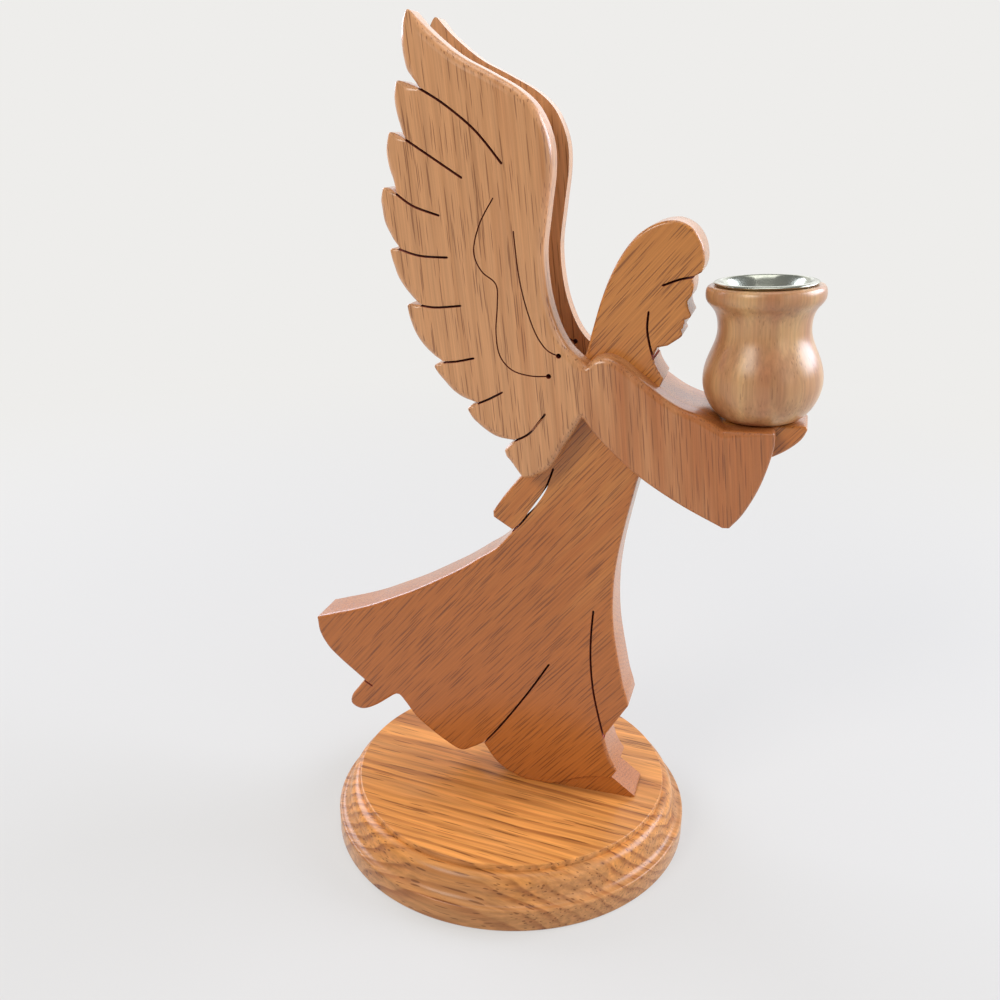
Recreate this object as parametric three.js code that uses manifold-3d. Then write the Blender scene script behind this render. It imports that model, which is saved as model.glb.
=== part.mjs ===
// Scroll-sawn wooden angel that carries a candle in a turned cup, standing on a turned base.
// Millimetres, +Z up, +X the way the figure faces. The origin is the centre of the base's underside.
import * as THREE from 'three';
import { mergeVertices } from 'three/addons/utils/BufferGeometryUtils.js';
import Module from 'manifold-3d';

const wasm = await Module();
wasm.setup();

// Height of the wing's tip above the base: the sawing pattern is enlarged to it
const FIGURE_HEIGHT = 304;

// Boards: the body is one thick board, and each wing with its sleeve is one thinner board
const BODY_THICKNESS = 19;
const PANEL_THICKNESS = 9.5;
const BODY_EDGE = { round: 0.9, steps: 1 };
const PANEL_EDGE = { round: 3.2, steps: 2 };
const GLUED_ROUND = 0.1;
const CORNER_RADIUS = 1.2;

// Saw cuts: feather and dress cuts, finer vein cuts, and the drilled hole that a vein starts from
const KERF = 0.8;
const VEIN_KERF = 0.5;
const VEIN_HOLE_RADIUS = 0.9;
const SASH_SLOT = 1.5;
const SHOE_PARING = 1.2;

// Turned base
const BASE_RADIUS = 76;
const BASE_HEIGHT = 23.5;
const BASE_TOP_RADIUS = 66.6;
const BASE_STEP = 2.9;
const BASE_BEAD_RADIUS = 71.2;
const BASE_BAND = 9.8;
const BASE_EDGE_EASE = 1;

// Turned cup: radii and the heights they stand at, above the cup's foot
const CUP_HEIGHT = 48.3;
const CUP_FOOT_RADIUS = 11.5;
const CUP_BELLY_RADIUS = 21.2;
const CUP_BELLY_HEIGHT = 14.8;
const CUP_WAIST_RADIUS = 16.3;
const CUP_WAIST_HEIGHT = 33.3;
const CUP_RIM_RADIUS = 20.8;
const CUP_RIM_BEAD = 6.2;
const CUP_BORE_DEPTH = 26;

// Metal insert that holds the candle
const CANDLE_BORE_RADIUS = 11.1;
const INSERT_WALL = 0.8;
const INSERT_DEPTH = 24;
const FLANGE_RADIUS = 18.2;
const FLANGE_CREST = 1.6;
const FLARE_RADIUS = 15.6;
const FLARE_DEPTH = 4.8;

// Wood screws
const SCREW_SHANK_RADIUS = 2.1;
const SCREW_HEAD_RADIUS = 4.1;
const SCREW_HEAD_HEIGHT = 2.6;
const SCREW_POINT = 5;
const BASE_SCREW_RECESS = 4;
const BASE_SCREW_BITE = 18;
const BASE_SCREW_X = { front: 37, rear: 17 };
const CUP_SCREW_BITE = 9.5;

// Clearances between pieces
const SEAT_GAP = 0.3;
const FIT_GAP = 0.3;

// The seat that carries the cup: how far it leans back, and how far it and its sides run on
const SEAT_LEAN = THREE.MathUtils.degToRad(3);
const SEAT_RIM = 1.5;
const CUFF_REACH = 5.6;
const HAND_REACH = 16.8;

// The sawing pattern: places in the figure's own plane, x forward and z up from the top of the base.
// It is enlarged so that the wing's tip stands at the figure's height.
const SEAT = [92.4, 166.8];

// Face: a plain profile drawn down a line from the hairline to the chin
const HAIRLINE = [65.2, 217.8];
const CHIN = [61.4, 196];
const FACE_PROFILE = [
  // share of the way down the face, how far the profile stands out from the line
  [0.14, 1.0],
  [0.3, 1.1],
  [0.39, 0.2],
  [0.5, 1.2],
  [0.6, 2.7],
  [0.655, 1.7],
  [0.69, 0.7],
  [0.735, 1.3],
  [0.765, 0.7],
  [0.8, 1.2],
  [0.85, 0.4],
  [0.91, 1.2],
  [0.97, 0.9],
];

// Each run is a smooth stretch that starts where the last one ended; a run of one point is straight.
const BODY_START = [9, 0];
const FOOT_RUNS = [
  [[56.5, 0]],
  [[56.3, 0.9]],
  [[46.2, 8.4]],
  [[48.5, 12.4]],
  [[46.4, 15.7], [44.6, 19.5], [43.2, 24], [42.2, 27.8]],
];
const DRESS_FRONT_RUNS = [
  [[45.5, 33.5], [48.6, 38.8], [51.6, 44]],
  [[50.8, 47.5], [49, 53], [47.2, 61], [45.5, 69], [44, 77.5], [43.1, 88], [43.1, 99],
    [44.2, 110.5], [46.2, 122.5], [48.6, 134.5], [51, 144], [56, 149.3]],
];
const ARM_UNDER_RUN = [[66, 150.6], [80, 151.2], [91, 152.6], [97.5, 155], [103, 158.4], [107.3, 162.5],
  [109, 166]];
const SLEEVE_TOP = [[75.5, 168.9], [71.5, 170.9], [68, 172], [64.5, 173.3], [61, 175.1], [57.4, 177.4]];
const THROAT = [56.2, 178.3];
const THROAT_RUNS = [
  [THROAT],
  [[57.3, 181.3]],
  [[55.5, 183.7], [54.1, 186], [53.1, 188.7]],
  [[54.4, 192.3]],
  [[58, 193.2]],
];
const HAIR_RUNS = [
  [[68.2, 219.6]],
  [[68.9, 223.5], [67.6, 229.4], [63.8, 234.4], [58, 236.7], [51.5, 235.5], [45.2, 231.4], [40, 224.6],
    [36, 216.3], [33, 207.3], [30.4, 196.8], [28, 187], [21, 169.5], [13.5, 153.5], [6, 140.5]],
];
const SASH_RUNS = [
  [[-1.5, 130.7], [-6.6, 122.8]],
  [[-6.4, 120.4]],
  [[1.8, 115.6]],
];
const DRESS_TOP_RUN = [[-5, 107.4], [-12.5, 101.8], [-21, 95.6], [-33, 88.2], [-42, 83], [-51, 78.5],
  [-60.5, 73.9], [-70, 70.2], [-79.5, 67], [-86.4, 64.6]];
const DRESS_BACK_RUN = [[-85.6, 57.5], [-81.8, 50.6], [-76.4, 45.4], [-70.5, 40.7], [-65.2, 36.6]];
const REAR_FOOT_RUN = [[-68.4, 32.2], [-71.5, 27.8], [-71.8, 23.6], [-67, 21.6], [-60.5, 24.4], [-52, 31]];
const HEM_RUNS = [
  [[-49.2, 32], [-46, 28.6], [-41, 22.2], [-34.5, 17], [-27.5, 12.4], [-20.5, 9.2], [-15, 11.6],
    [-10.2, 14.8]],
  [[-8.2, 11.8], [-5.4, 7.8], [-1.6, 4.4], [3.5, 1.7], BODY_START],
];

// Saw cuts in the body board, each from the edge inwards or closed at both ends
const HAIRLINE_CUT = [HAIRLINE, [61, 216.9], [55, 214.5]];
const JAW_CUT = [[53.1, 188.7], [51.3, 194.5], [50.4, 199.5], [50.6, 205]];
const FRONT_FOLD_CUT = [[42.2, 27.8], [39.5, 37.5], [36.8, 49.5], [35.3, 62], [35, 74], [35.5, 85]];
const HEM_FOLD_CUT = [[-10.2, 14.8], [-4.8, 20.2], [2.5, 31], [10, 44.2], [18, 58]];
const SASH_CUT = [[1.8, 115.6], [5.6, 119.8], [10.2, 126.8], [14.4, 134], [17.5, 143]];
const SASH_SLOT_RUN = [[6.6, 121.2], [8.6, 124.2], [10.6, 127.4], [12.2, 130.2]];
const REAR_FOOT_CUT = [[-65.2, 36.6], [-61.4, 34.4]];
const SHOE_TOP = [[17, -2], [20, 0.5], [24.5, 2.4], [31, 5.6], [37, 7.6], [42, 8.4], [48, 8.5], [62, 8.7]];

// Wing and sleeve panel
const WING_TIP = [-35.5, 304];
const LEADING_EDGE = [[-28.5, 297.2], [-18, 289.3], [-7, 283.9], [3.5, 278.4], [10.5, 272], [14.9, 262.5],
  [15.9, 252.5], [14.7, 239], [13.6, 225], [15.2, 211.5], [18.6, 200.5], [23.5, 192], [30.6, 186]];
const SHOULDER = [[33.4, 188.5], [38, 189.4], [43.5, 187.2], [50.5, 182.2]];
const CUFF_RUN = [[98.4, 161], [95.2, 147.4], [90.2, 136], [85.6, 129.8]];
const SLEEVE_UNDER_RUN = [[67, 137], [51.8, 146], [40.5, 155.3], [29.5, 166]];
const WING_UNDER_RUN = [[23.8, 155.8], [18.2, 146.1], [13, 141.9], [7.8, 141.5]];

// Feathers from the lowest up: the mid-point of the free edge, the tip, the notch above the tip,
// and the saw cut that runs in from the notch
const FEATHERS = [
  { bow: [2.5, 145.4], tip: [-0.2, 151], notch: [4.2, 155], cut: [[10.2, 159.2], [16, 167]] },
  { bow: [-7.2, 157.7], tip: [-14.7, 167.3], notch: [-12, 169], cut: [[-5.8, 170.9], [-0.5, 174]] },
  { bow: [-22.1, 173.2], tip: [-28.3, 182.6], notch: [-25.2, 184], cut: [[-18, 184.4], [-11.5, 186]] },
  { bow: [-34.1, 191.8], tip: [-38.8, 204.1], notch: [-35.8, 204.9], cut: [[-26, 203.9], [-16.5, 205]] },
  { bow: [-42, 213.2], tip: [-44.9, 224.5], notch: [-41.6, 224.7], cut: [[-32, 222.2], [-21.5, 222]] },
  { bow: [-47, 235], tip: [-46.9, 246.2], notch: [-41.8, 243.8], cut: [[-34, 239.4], [-24.5, 236.5]] },
  { bow: [-45.1, 254], tip: [-44, 265], notch: [-38.3, 262.7], cut: [[-27.5, 256.4], [-16, 249.5]] },
  { bow: [-41.6, 272], tip: [-39.8, 282], notch: [-33.5, 279.6],
    cut: [[-22, 273.3], [-11, 265], [-1.5, 254.5]] },
];
const TOP_FEATHER_BOW = [-38.9, 292.5];

// Veins: a drilled hole, then a fine cut that ends inside the wing
const LONG_VEIN = [[17, 181.3], [10, 181], [3, 182.8], [-1.6, 188], [-3, 196.5], [-2.6, 206], [-3.2, 213.4],
  [-8.6, 217.8], [-11.5, 224.5], [-9.4, 234], [-4.5, 243]];
const SHORT_VEIN = [[20.5, 189], [16, 191], [11.6, 197], [7.6, 207.4], [5, 218], [3, 232]];

// Steps used to draw round stretches
const RUN_STEPS = 2;
const CORNER_STEPS = 2;
const BASE_SIDES = 64;
const CUP_SIDES = 40;
const SCREW_SIDES = 16;
const HOLE_SIDES = 10;
const ARC_STEPS = 4;
const THROUGH = 1;
const SHARP_TURN = THREE.MathUtils.degToRad(32);

const patternScale = FIGURE_HEIGHT / WING_TIP[1];
const point = ([x, z]) => new THREE.Vector2(x, z).multiplyScalar(patternScale);

function closedSolid(geometry) {
  // A manifold solid from a closed geometry, without the slivers left at a lathe's axis
  geometry.deleteAttribute('normal');
  geometry.deleteAttribute('uv');
  const merged = mergeVertices(geometry);
  const index = merged.index.array;
  const triangles = [];
  for (let i = 0; i < index.length; i += 3) {
    const [a, b, c] = [index[i], index[i + 1], index[i + 2]];
    if (a !== b && b !== c && c !== a) triangles.push(a, b, c);
  }
  return new wasm.Manifold(new wasm.Mesh({
    numProp: 3,
    vertProperties: new Float32Array(merged.getAttribute('position').array),
    triVerts: new Uint32Array(triangles),
  }));
}

function cutFrom(solid, cutters) {
  return cutters.reduce((left, cutter) => left.subtract(cutter), solid);
}

function namedMesh(name, solid, finish) {
  const { vertProperties, triVerts } = solid.getMesh();
  const geometry = new THREE.BufferGeometry();
  geometry.setAttribute('position', new THREE.BufferAttribute(vertProperties, 3));
  geometry.setIndex(new THREE.BufferAttribute(triVerts, 1));
  geometry.computeVertexNormals();
  const mesh = new THREE.Mesh(geometry, new THREE.MeshStandardMaterial(finish));
  mesh.name = name;
  return mesh;
}

function turned(profile, sides) {
  // A solid of revolution about Z from a profile of radius and height, from the axis to the axis
  const geometry = new THREE.LatheGeometry(profile, sides);
  geometry.rotateX(Math.PI / 2);
  return closedSolid(geometry);
}

function onSeat(reach) {
  // The pattern's place on the leaning seat, a real distance forward of its middle
  const forward = reach / patternScale;
  return [SEAT[0] + forward, SEAT[1] + forward * Math.tan(SEAT_LEAN)];
}

function drawRuns(shape, runs) {
  for (const run of runs) {
    if (run.length === 1) shape.lineTo(...point(run[0]));
    else shape.splineThru(run.map(point));
  }
}

function easeCorners(points) {
  // Rounds every outward corner that is sharp to the corner radius
  return points.flatMap((corner, i) => {
    const into = corner.clone().sub(points.at(i - 1));
    const out = points[(i + 1) % points.length].clone().sub(corner);
    const turn = Math.atan2(into.cross(out), into.dot(out));
    if (turn < SHARP_TURN) return [corner];
    const reach = Math.min(CORNER_RADIUS * Math.tan(turn / 2), into.length() * 0.45, out.length() * 0.45);
    const from = corner.clone().addScaledVector(into.normalize(), -reach);
    const to = corner.clone().addScaledVector(out.normalize(), reach);
    return new THREE.QuadraticBezierCurve(from, corner, to).getPoints(CORNER_STEPS);
  });
}

function outlineOf(shape) {
  // Points of a shape's outline, anticlockwise, with no repeated point and its sharp corners eased
  const drawn = shape.getPoints(RUN_STEPS);
  const points = drawn.filter((p, i) => p.distanceTo(drawn.at(i - 1)) > 0.05);
  if (THREE.ShapeUtils.isClockWise(points)) points.reverse();
  return easeCorners(points);
}

function distanceToEdge(p, a, b) {
  const edge = b.clone().sub(a);
  const along = THREE.MathUtils.clamp(p.clone().sub(a).dot(edge) / edge.lengthSq(), 0, 1);
  return p.distanceTo(a.clone().addScaledVector(edge, along));
}

function insetsOf(points, most, isSquare) {
  // The way in from each outline point, and how far it may go before it meets the other side.
  // An edge that is glued flush to its neighbour stays all but square.
  const count = points.length;
  const edges = points.map((p, i) => [p, points[(i + 1) % count]]);
  return points.map((p, i) => {
    const before = p.clone().sub(points.at(i - 1)).normalize();
    const after = edges[i][1].clone().sub(p).normalize();
    const way = new THREE.Vector2(-before.y - after.y, before.x + after.x).normalize();
    const outward = before.cross(after) > 0;
    way.multiplyScalar(outward ? 1 / Math.max(way.dot(new THREE.Vector2(-before.y, before.x)), 0.7) : 1);
    const clear = (depth) => {
      const moved = p.clone().addScaledVector(way, depth);
      return edges.every(([a, b]) => a === p || b === p || distanceToEdge(moved, a, b) > depth * 0.95);
    };
    if (isSquare(p)) return { way, reach: GLUED_ROUND };
    if (clear(most)) return { way, reach: most };
    let [low, high] = [0, most];
    for (let step = 0; step < 10; step += 1) {
      const middle = (low + high) / 2;
      if (clear(middle)) low = middle;
      else high = middle;
    }
    return { way, reach: low * 0.9 };
  });
}

function settleInsets(points, insets) {
  // Shortens neighbouring insets until no edge of the inner ring turns back on itself
  const moved = (i) => points[i].clone().addScaledVector(insets[i].way, insets[i].reach);
  let turned = 1;
  for (let pass = 0; pass < 60 && turned > 0; pass += 1) {
    turned = 0;
    for (let i = 0; i < points.length; i += 1) {
      const j = (i + 1) % points.length;
      const edge = points[j].clone().sub(points[i]);
      if (moved(j).sub(moved(i)).dot(edge) < 0.1 * edge.lengthSq()) {
        insets[i].reach *= 0.85;
        insets[j].reach *= 0.85;
        turned += 1;
      }
    }
  }
}

function squareRings(points, face) {
  return [points.map((p) => new THREE.Vector3(p.x, face, p.y))];
}

function roundedRings(points, face, inward, { round, steps }, isSquare) {
  // Rings of an edge rounded over from a flat face to the board's side
  const insets = insetsOf(points, round, isSquare);
  settleInsets(points, insets);
  const rings = [];
  for (let step = 0; step <= steps; step += 1) {
    rings.push(points.map((p, i) => {
      const { way, reach } = insets[i];
      const angle = Math.acos(1 - reach / round) * (1 - step / steps);
      const moved = p.clone().addScaledVector(way, round * (1 - Math.cos(angle)));
      return new THREE.Vector3(moved.x, face + inward * round * (1 - Math.sin(angle)), moved.y);
    }));
  }
  return rings;
}

function sawnBoard(rings) {
  // A board that runs through the rings of its sawn edge, from its low Y face to its high one
  const count = rings[0].length;
  const index = [];
  const addCap = (ring, flip) => {
    const flat = rings[ring].map((v) => new THREE.Vector2(v.x, v.z));
    for (const [a, b, c] of THREE.ShapeUtils.triangulateShape(flat, [])) {
      const corners = flip ? [a, c, b] : [a, b, c];
      index.push(...corners.map((corner) => ring * count + corner));
    }
  };
  addCap(0, false);
  addCap(rings.length - 1, true);
  for (let ring = 0; ring < rings.length - 1; ring += 1) {
    for (let i = 0; i < count; i += 1) {
      const j = (i + 1) % count;
      const [a, b] = [ring * count + i, ring * count + j];
      const [c, d] = [b + count, a + count];
      index.push(a, d, c, a, c, b);
    }
  }
  const geometry = new THREE.BufferGeometry();
  geometry.setFromPoints(rings.flat());
  geometry.setIndex(index);
  return closedSolid(geometry);
}

function sawCut(route, width, depth, lead) {
  // A saw cut through the full depth of a board, led out a little past its first point
  const curve = new THREE.SplineCurve(route.map(point));
  const steps = Math.max(2, (route.length - 1) * 3);
  const left = [];
  const right = [];
  for (let i = 0; i <= steps; i += 1) {
    const along = curve.getTangent(i / steps);
    const place = curve.getPoint(i / steps);
    if (i === 0) place.addScaledVector(along, -lead);
    const across = new THREE.Vector2(-along.y, along.x).multiplyScalar(width / 2);
    left.push(place.clone().add(across));
    right.unshift(place.clone().sub(across));
  }
  const geometry = new THREE.ExtrudeGeometry(new THREE.Shape([...left, ...right]), {
    depth: depth + 2 * THROUGH,
    bevelEnabled: false,
  });
  geometry.translate(0, 0, -depth / 2 - THROUGH);
  geometry.rotateX(Math.PI / 2);
  return closedSolid(geometry);
}

function veinCut(route, depth) {
  const hole = new THREE.CylinderGeometry(
    VEIN_HOLE_RADIUS, VEIN_HOLE_RADIUS, depth + 2 * THROUGH, HOLE_SIDES);
  const start = point(route[0]);
  hole.translate(start.x, 0, start.y);
  return sawCut(route, VEIN_KERF, depth, 0).add(closedSolid(hole));
}

function screwProfile(length, gap, access) {
  // A countersunk screw from its head at height 0 to its point, or with a gap the hole for it
  const shank = SCREW_SHANK_RADIUS + gap;
  const head = SCREW_HEAD_RADIUS + gap;
  return [
    new THREE.Vector2(0, -access),
    new THREE.Vector2(head, -access),
    new THREE.Vector2(head, access > 0 ? gap : 0.4),
    new THREE.Vector2(shank, SCREW_HEAD_HEIGHT + gap),
    new THREE.Vector2(shank, length - SCREW_POINT + gap),
    new THREE.Vector2(0, length + 2 * gap),
  ];
}

const seatMiddle = point(SEAT);
const screwLengthBase = BASE_HEIGHT - BASE_SCREW_RECESS + BASE_SCREW_BITE;
const screwLengthCup = CUP_HEIGHT - CUP_BORE_DEPTH + SEAT_GAP + CUP_SCREW_BITE;

function baseScrewHole(x, floor) {
  const hole = turned(screwProfile(screwLengthBase, FIT_GAP, BASE_SCREW_RECESS + THROUGH), SCREW_SIDES);
  return hole.translate([x, 0, BASE_SCREW_RECESS - floor]);
}

function makeBase() {
  // An ogee edge: band, cove, bead and a square step up to the flat top
  const shoulder = BASE_HEIGHT - BASE_STEP;
  const middle = (shoulder + BASE_BAND) / 2;
  const swell = (shoulder - BASE_BAND) / 2;
  const ledge = BASE_RADIUS - BASE_EDGE_EASE;
  const bead = new THREE.EllipseCurve(
    BASE_TOP_RADIUS, middle, BASE_BEAD_RADIUS - BASE_TOP_RADIUS, swell, 0, Math.PI / 2);
  const cove = new THREE.EllipseCurve(
    ledge, middle, ledge - BASE_BEAD_RADIUS, swell, -Math.PI / 2, -Math.PI, true);
  const profile = [
    new THREE.Vector2(0, 0),
    new THREE.Vector2(BASE_RADIUS - BASE_EDGE_EASE, 0),
    new THREE.Vector2(BASE_RADIUS, BASE_EDGE_EASE),
    new THREE.Vector2(BASE_RADIUS, BASE_BAND - BASE_EDGE_EASE),
    ...cove.getPoints(ARC_STEPS),
    ...bead.getPoints(ARC_STEPS).slice(1),
    new THREE.Vector2(BASE_TOP_RADIUS, BASE_HEIGHT),
    new THREE.Vector2(0, BASE_HEIGHT),
  ];
  const holes = Object.values(BASE_SCREW_X).map((x) => baseScrewHole(x, 0));
  return cutFrom(turned(profile, BASE_SIDES), holes);
}

function faceRun() {
  // The profile from the chin up to the hairline
  const hairline = new THREE.Vector2(...HAIRLINE);
  const down = new THREE.Vector2(...CHIN).sub(hairline);
  const out = new THREE.Vector2(-down.y, down.x).normalize();
  const place = ([share, stand]) => hairline.clone().addScaledVector(down, share).addScaledVector(out, stand);
  return [...FACE_PROFILE.map(place).reverse(), hairline].map((p) => [p.x, p.y]);
}

function bodyOutline() {
  const shape = new THREE.Shape();
  shape.moveTo(...point(BODY_START));
  drawRuns(shape, [
    ...FOOT_RUNS,
    ...DRESS_FRONT_RUNS,
    ARM_UNDER_RUN,
    [onSeat(HAND_REACH)],
    [onSeat(-CUP_FOOT_RADIUS - SEAT_RIM)],
    SLEEVE_TOP,
    ...THROAT_RUNS,
    faceRun(),
    ...HAIR_RUNS,
    ...SASH_RUNS,
    DRESS_TOP_RUN,
    DRESS_BACK_RUN,
    REAR_FOOT_RUN,
    ...HEM_RUNS,
  ]);
  return outlineOf(shape);
}

function cupScrewHole() {
  // The pilot hole in the hand, square to the leaning seat
  const hole = turned(screwProfile(screwLengthCup, FIT_GAP, THROUGH), SCREW_SIDES);
  return hole
    .rotate([180, 0, 0])
    .translate([0, 0, screwLengthCup - CUP_SCREW_BITE])
    .rotate([0, -THREE.MathUtils.radToDeg(SEAT_LEAN), 0])
    .translate([seatMiddle.x, 0, seatMiddle.y]);
}

function shoeParing(side) {
  // What is pared off one face of the front foot, up to the curve of the hem
  const shape = new THREE.Shape();
  const face = BODY_THICKNESS / 2;
  const [heel, ...instep] = SHOE_TOP.map(point);
  shape.moveTo(heel.x, heel.y);
  shape.splineThru(instep);
  shape.lineTo(instep.at(-1).x, heel.y);
  const geometry = new THREE.ExtrudeGeometry(shape, {
    depth: SHOE_PARING + THROUGH,
    bevelEnabled: false,
    curveSegments: RUN_STEPS,
  });
  geometry.rotateX(Math.PI / 2);
  geometry.translate(0, side > 0 ? face + THROUGH : SHOE_PARING - face, 0);
  return closedSolid(geometry);
}

function isUnderSleeve(p) {
  // Whether a point of the body's outline lies on the forearm's top, between throat and cuff
  const throat = point(THROAT);
  const cuff = point(onSeat(CUFF_REACH));
  const knuckle = point(ARM_UNDER_RUN.at(-2));
  return p.x > throat.x && p.x < cuff.x && p.y > knuckle.y && p.y < throat.y;
}

function makeBody() {
  const half = BODY_THICKNESS / 2;
  const cut = (route) => sawCut(route, KERF, BODY_THICKNESS, KERF);
  const points = bodyOutline();
  const board = sawnBoard([
    ...roundedRings(points, -half, 1, BODY_EDGE, isUnderSleeve),
    ...roundedRings(points, half, -1, BODY_EDGE, isUnderSleeve).reverse(),
  ]);
  return cutFrom(board, [
    cut(HAIRLINE_CUT),
    cut(JAW_CUT),
    cut(FRONT_FOLD_CUT),
    cut(HEM_FOLD_CUT),
    cut(SASH_CUT),
    sawCut(SASH_SLOT_RUN, SASH_SLOT, BODY_THICKNESS, 0),
    cut(REAR_FOOT_CUT),
    shoeParing(-1),
    shoeParing(1),
    ...Object.values(BASE_SCREW_X).map((x) => baseScrewHole(x, BASE_HEIGHT)),
    cupScrewHole(),
  ]);
}

function panelOutline() {
  const shape = new THREE.Shape();
  shape.moveTo(...point(WING_TIP));
  drawRuns(shape, [
    LEADING_EDGE,
    [...SHOULDER, ...SLEEVE_TOP.toReversed(), onSeat(-CUP_FOOT_RADIUS)],
    [onSeat(CUFF_REACH)],
    CUFF_RUN,
    [[83, 129.6]],
    SLEEVE_UNDER_RUN,
    WING_UNDER_RUN,
  ]);
  for (const { bow, tip, notch } of FEATHERS) drawRuns(shape, [[bow, tip], [notch]]);
  drawRuns(shape, [[TOP_FEATHER_BOW, WING_TIP]]);
  return outlineOf(shape);
}

function makePanel(side) {
  // side is -1 for the figure's right and 1 for its left: only the outer face is rounded over
  const glued = side * BODY_THICKNESS / 2;
  const outer = glued + side * PANEL_THICKNESS;
  const depth = BODY_THICKNESS + 2 * PANEL_THICKNESS;
  const points = panelOutline();
  const rings = [
    ...roundedRings(points, outer, -side, PANEL_EDGE, () => false),
    ...squareRings(points, glued),
  ];
  if (side > 0) rings.reverse();
  return cutFrom(sawnBoard(rings), [
    ...FEATHERS.map(({ notch, cut }) => sawCut([notch, ...cut], KERF, depth, KERF)),
    veinCut(LONG_VEIN, depth),
    veinCut(SHORT_VEIN, depth),
  ]);
}

function cupProfile() {
  // Outside from the foot over the belly and the waist to the beaded rim, then down the bore
  const foot = new THREE.Vector2(CUP_FOOT_RADIUS, 0);
  const belly = new THREE.Vector2(CUP_BELLY_RADIUS, CUP_BELLY_HEIGHT);
  const waist = new THREE.Vector2(CUP_WAIST_RADIUS, CUP_WAIST_HEIGHT);
  const rim = new THREE.Vector2(CUP_RIM_RADIUS, CUP_HEIGHT - CUP_RIM_BEAD / 2);
  const lip = new THREE.Vector2(FLANGE_RADIUS + 1, CUP_HEIGHT);
  const climb = CUP_WAIST_HEIGHT - CUP_BELLY_HEIGHT;
  const neck = rim.y - CUP_WAIST_HEIGHT;
  const outside = new THREE.CurvePath();
  outside.add(new THREE.CubicBezierCurve(
    foot,
    new THREE.Vector2(CUP_FOOT_RADIUS + 5, 0.8),
    new THREE.Vector2(CUP_BELLY_RADIUS, CUP_BELLY_HEIGHT * 0.55),
    belly));
  outside.add(new THREE.CubicBezierCurve(
    belly,
    new THREE.Vector2(CUP_BELLY_RADIUS, CUP_BELLY_HEIGHT + climb * 0.44),
    new THREE.Vector2(CUP_WAIST_RADIUS, CUP_BELLY_HEIGHT + climb * 0.66),
    waist));
  outside.add(new THREE.CubicBezierCurve(
    waist,
    new THREE.Vector2(CUP_WAIST_RADIUS, CUP_WAIST_HEIGHT + neck * 0.72),
    new THREE.Vector2(CUP_RIM_RADIUS, CUP_WAIST_HEIGHT + neck * 0.64),
    rim));
  outside.add(new THREE.QuadraticBezierCurve(rim, new THREE.Vector2(rim.x, lip.y - 0.2), lip));
  const bore = CANDLE_BORE_RADIUS + INSERT_WALL + FIT_GAP;
  const floor = CUP_HEIGHT - CUP_BORE_DEPTH;
  return [
    new THREE.Vector2(0, 0),
    ...outside.getPoints(ARC_STEPS),
    new THREE.Vector2(FLARE_RADIUS + 2 * FIT_GAP, CUP_HEIGHT),
    new THREE.Vector2(bore, CUP_HEIGHT - FLARE_DEPTH - FIT_GAP),
    new THREE.Vector2(bore, floor),
    new THREE.Vector2(0, floor),
  ];
}

function makeCup() {
  const hole = turned(screwProfile(screwLengthCup, FIT_GAP, THROUGH), SCREW_SIDES)
    .rotate([180, 0, 0])
    .translate([0, 0, CUP_HEIGHT - CUP_BORE_DEPTH]);
  return turned(cupProfile(), CUP_SIDES).subtract(hole);
}

function makeInsert() {
  // A drawn cup whose mouth flares into a rolled flange; height 0 is the flange's underside
  const outer = CANDLE_BORE_RADIUS + INSERT_WALL;
  const slope = new THREE.Vector2(FLARE_RADIUS - outer, FLARE_DEPTH).normalize();
  const inwards = new THREE.Vector2(-slope.y, slope.x).multiplyScalar(INSERT_WALL);
  const flareTop = new THREE.Vector2(FLARE_RADIUS, 0).add(inwards);
  const crest = new THREE.Vector2(FLARE_RADIUS + 0.9, FLANGE_CREST);
  const edge = new THREE.Vector2(FLANGE_RADIUS, INSERT_WALL * 0.7);
  const roll = new THREE.CurvePath();
  roll.add(new THREE.QuadraticBezierCurve(edge, new THREE.Vector2(FLANGE_RADIUS - 0.2, crest.y - 0.1), crest));
  roll.add(new THREE.QuadraticBezierCurve(crest, new THREE.Vector2(FLARE_RADIUS, crest.y), flareTop));
  const floor = INSERT_WALL - INSERT_DEPTH;
  return turned([
    new THREE.Vector2(0, -INSERT_DEPTH),
    new THREE.Vector2(outer - 1, -INSERT_DEPTH),
    new THREE.Vector2(outer, 1 - INSERT_DEPTH),
    new THREE.Vector2(outer, -FLARE_DEPTH),
    new THREE.Vector2(FLARE_RADIUS, 0),
    new THREE.Vector2(FLANGE_RADIUS - 0.5, 0),
    ...roll.getPoints(ARC_STEPS - 1),
    new THREE.Vector2(CANDLE_BORE_RADIUS, -FLARE_DEPTH),
    new THREE.Vector2(CANDLE_BORE_RADIUS, floor + 0.7),
    new THREE.Vector2(CANDLE_BORE_RADIUS - 0.7, floor),
    new THREE.Vector2(0, floor),
  ], CUP_SIDES);
}

function makeScrew(length) {
  return turned(screwProfile(length, 0, 0), SCREW_SIDES);
}

// Finishes
const BODY_OAK = { color: 0xa8683a, roughness: 0.42, metalness: 0 };
const WING_OAK = { color: 0xc08f63, roughness: 0.45, metalness: 0 };
const BASE_OAK = { color: 0xc98545, roughness: 0.4, metalness: 0 };
const CUP_WOOD = { color: 0xb88a5e, roughness: 0.35, metalness: 0 };
const NICKEL = { color: 0xb9bdb4, roughness: 0.25, metalness: 1 };
const ZINC_STEEL = { color: 0xa9a9a6, roughness: 0.4, metalness: 1 };

const angel = new THREE.Group();
angel.add(namedMesh('base', makeBase(), BASE_OAK));
for (const [place, x] of Object.entries(BASE_SCREW_X)) {
  const screw = namedMesh(`base_screw_${place}`, makeScrew(screwLengthBase), ZINC_STEEL);
  screw.position.set(x, 0, BASE_SCREW_RECESS);
  angel.add(screw);
}

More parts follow.
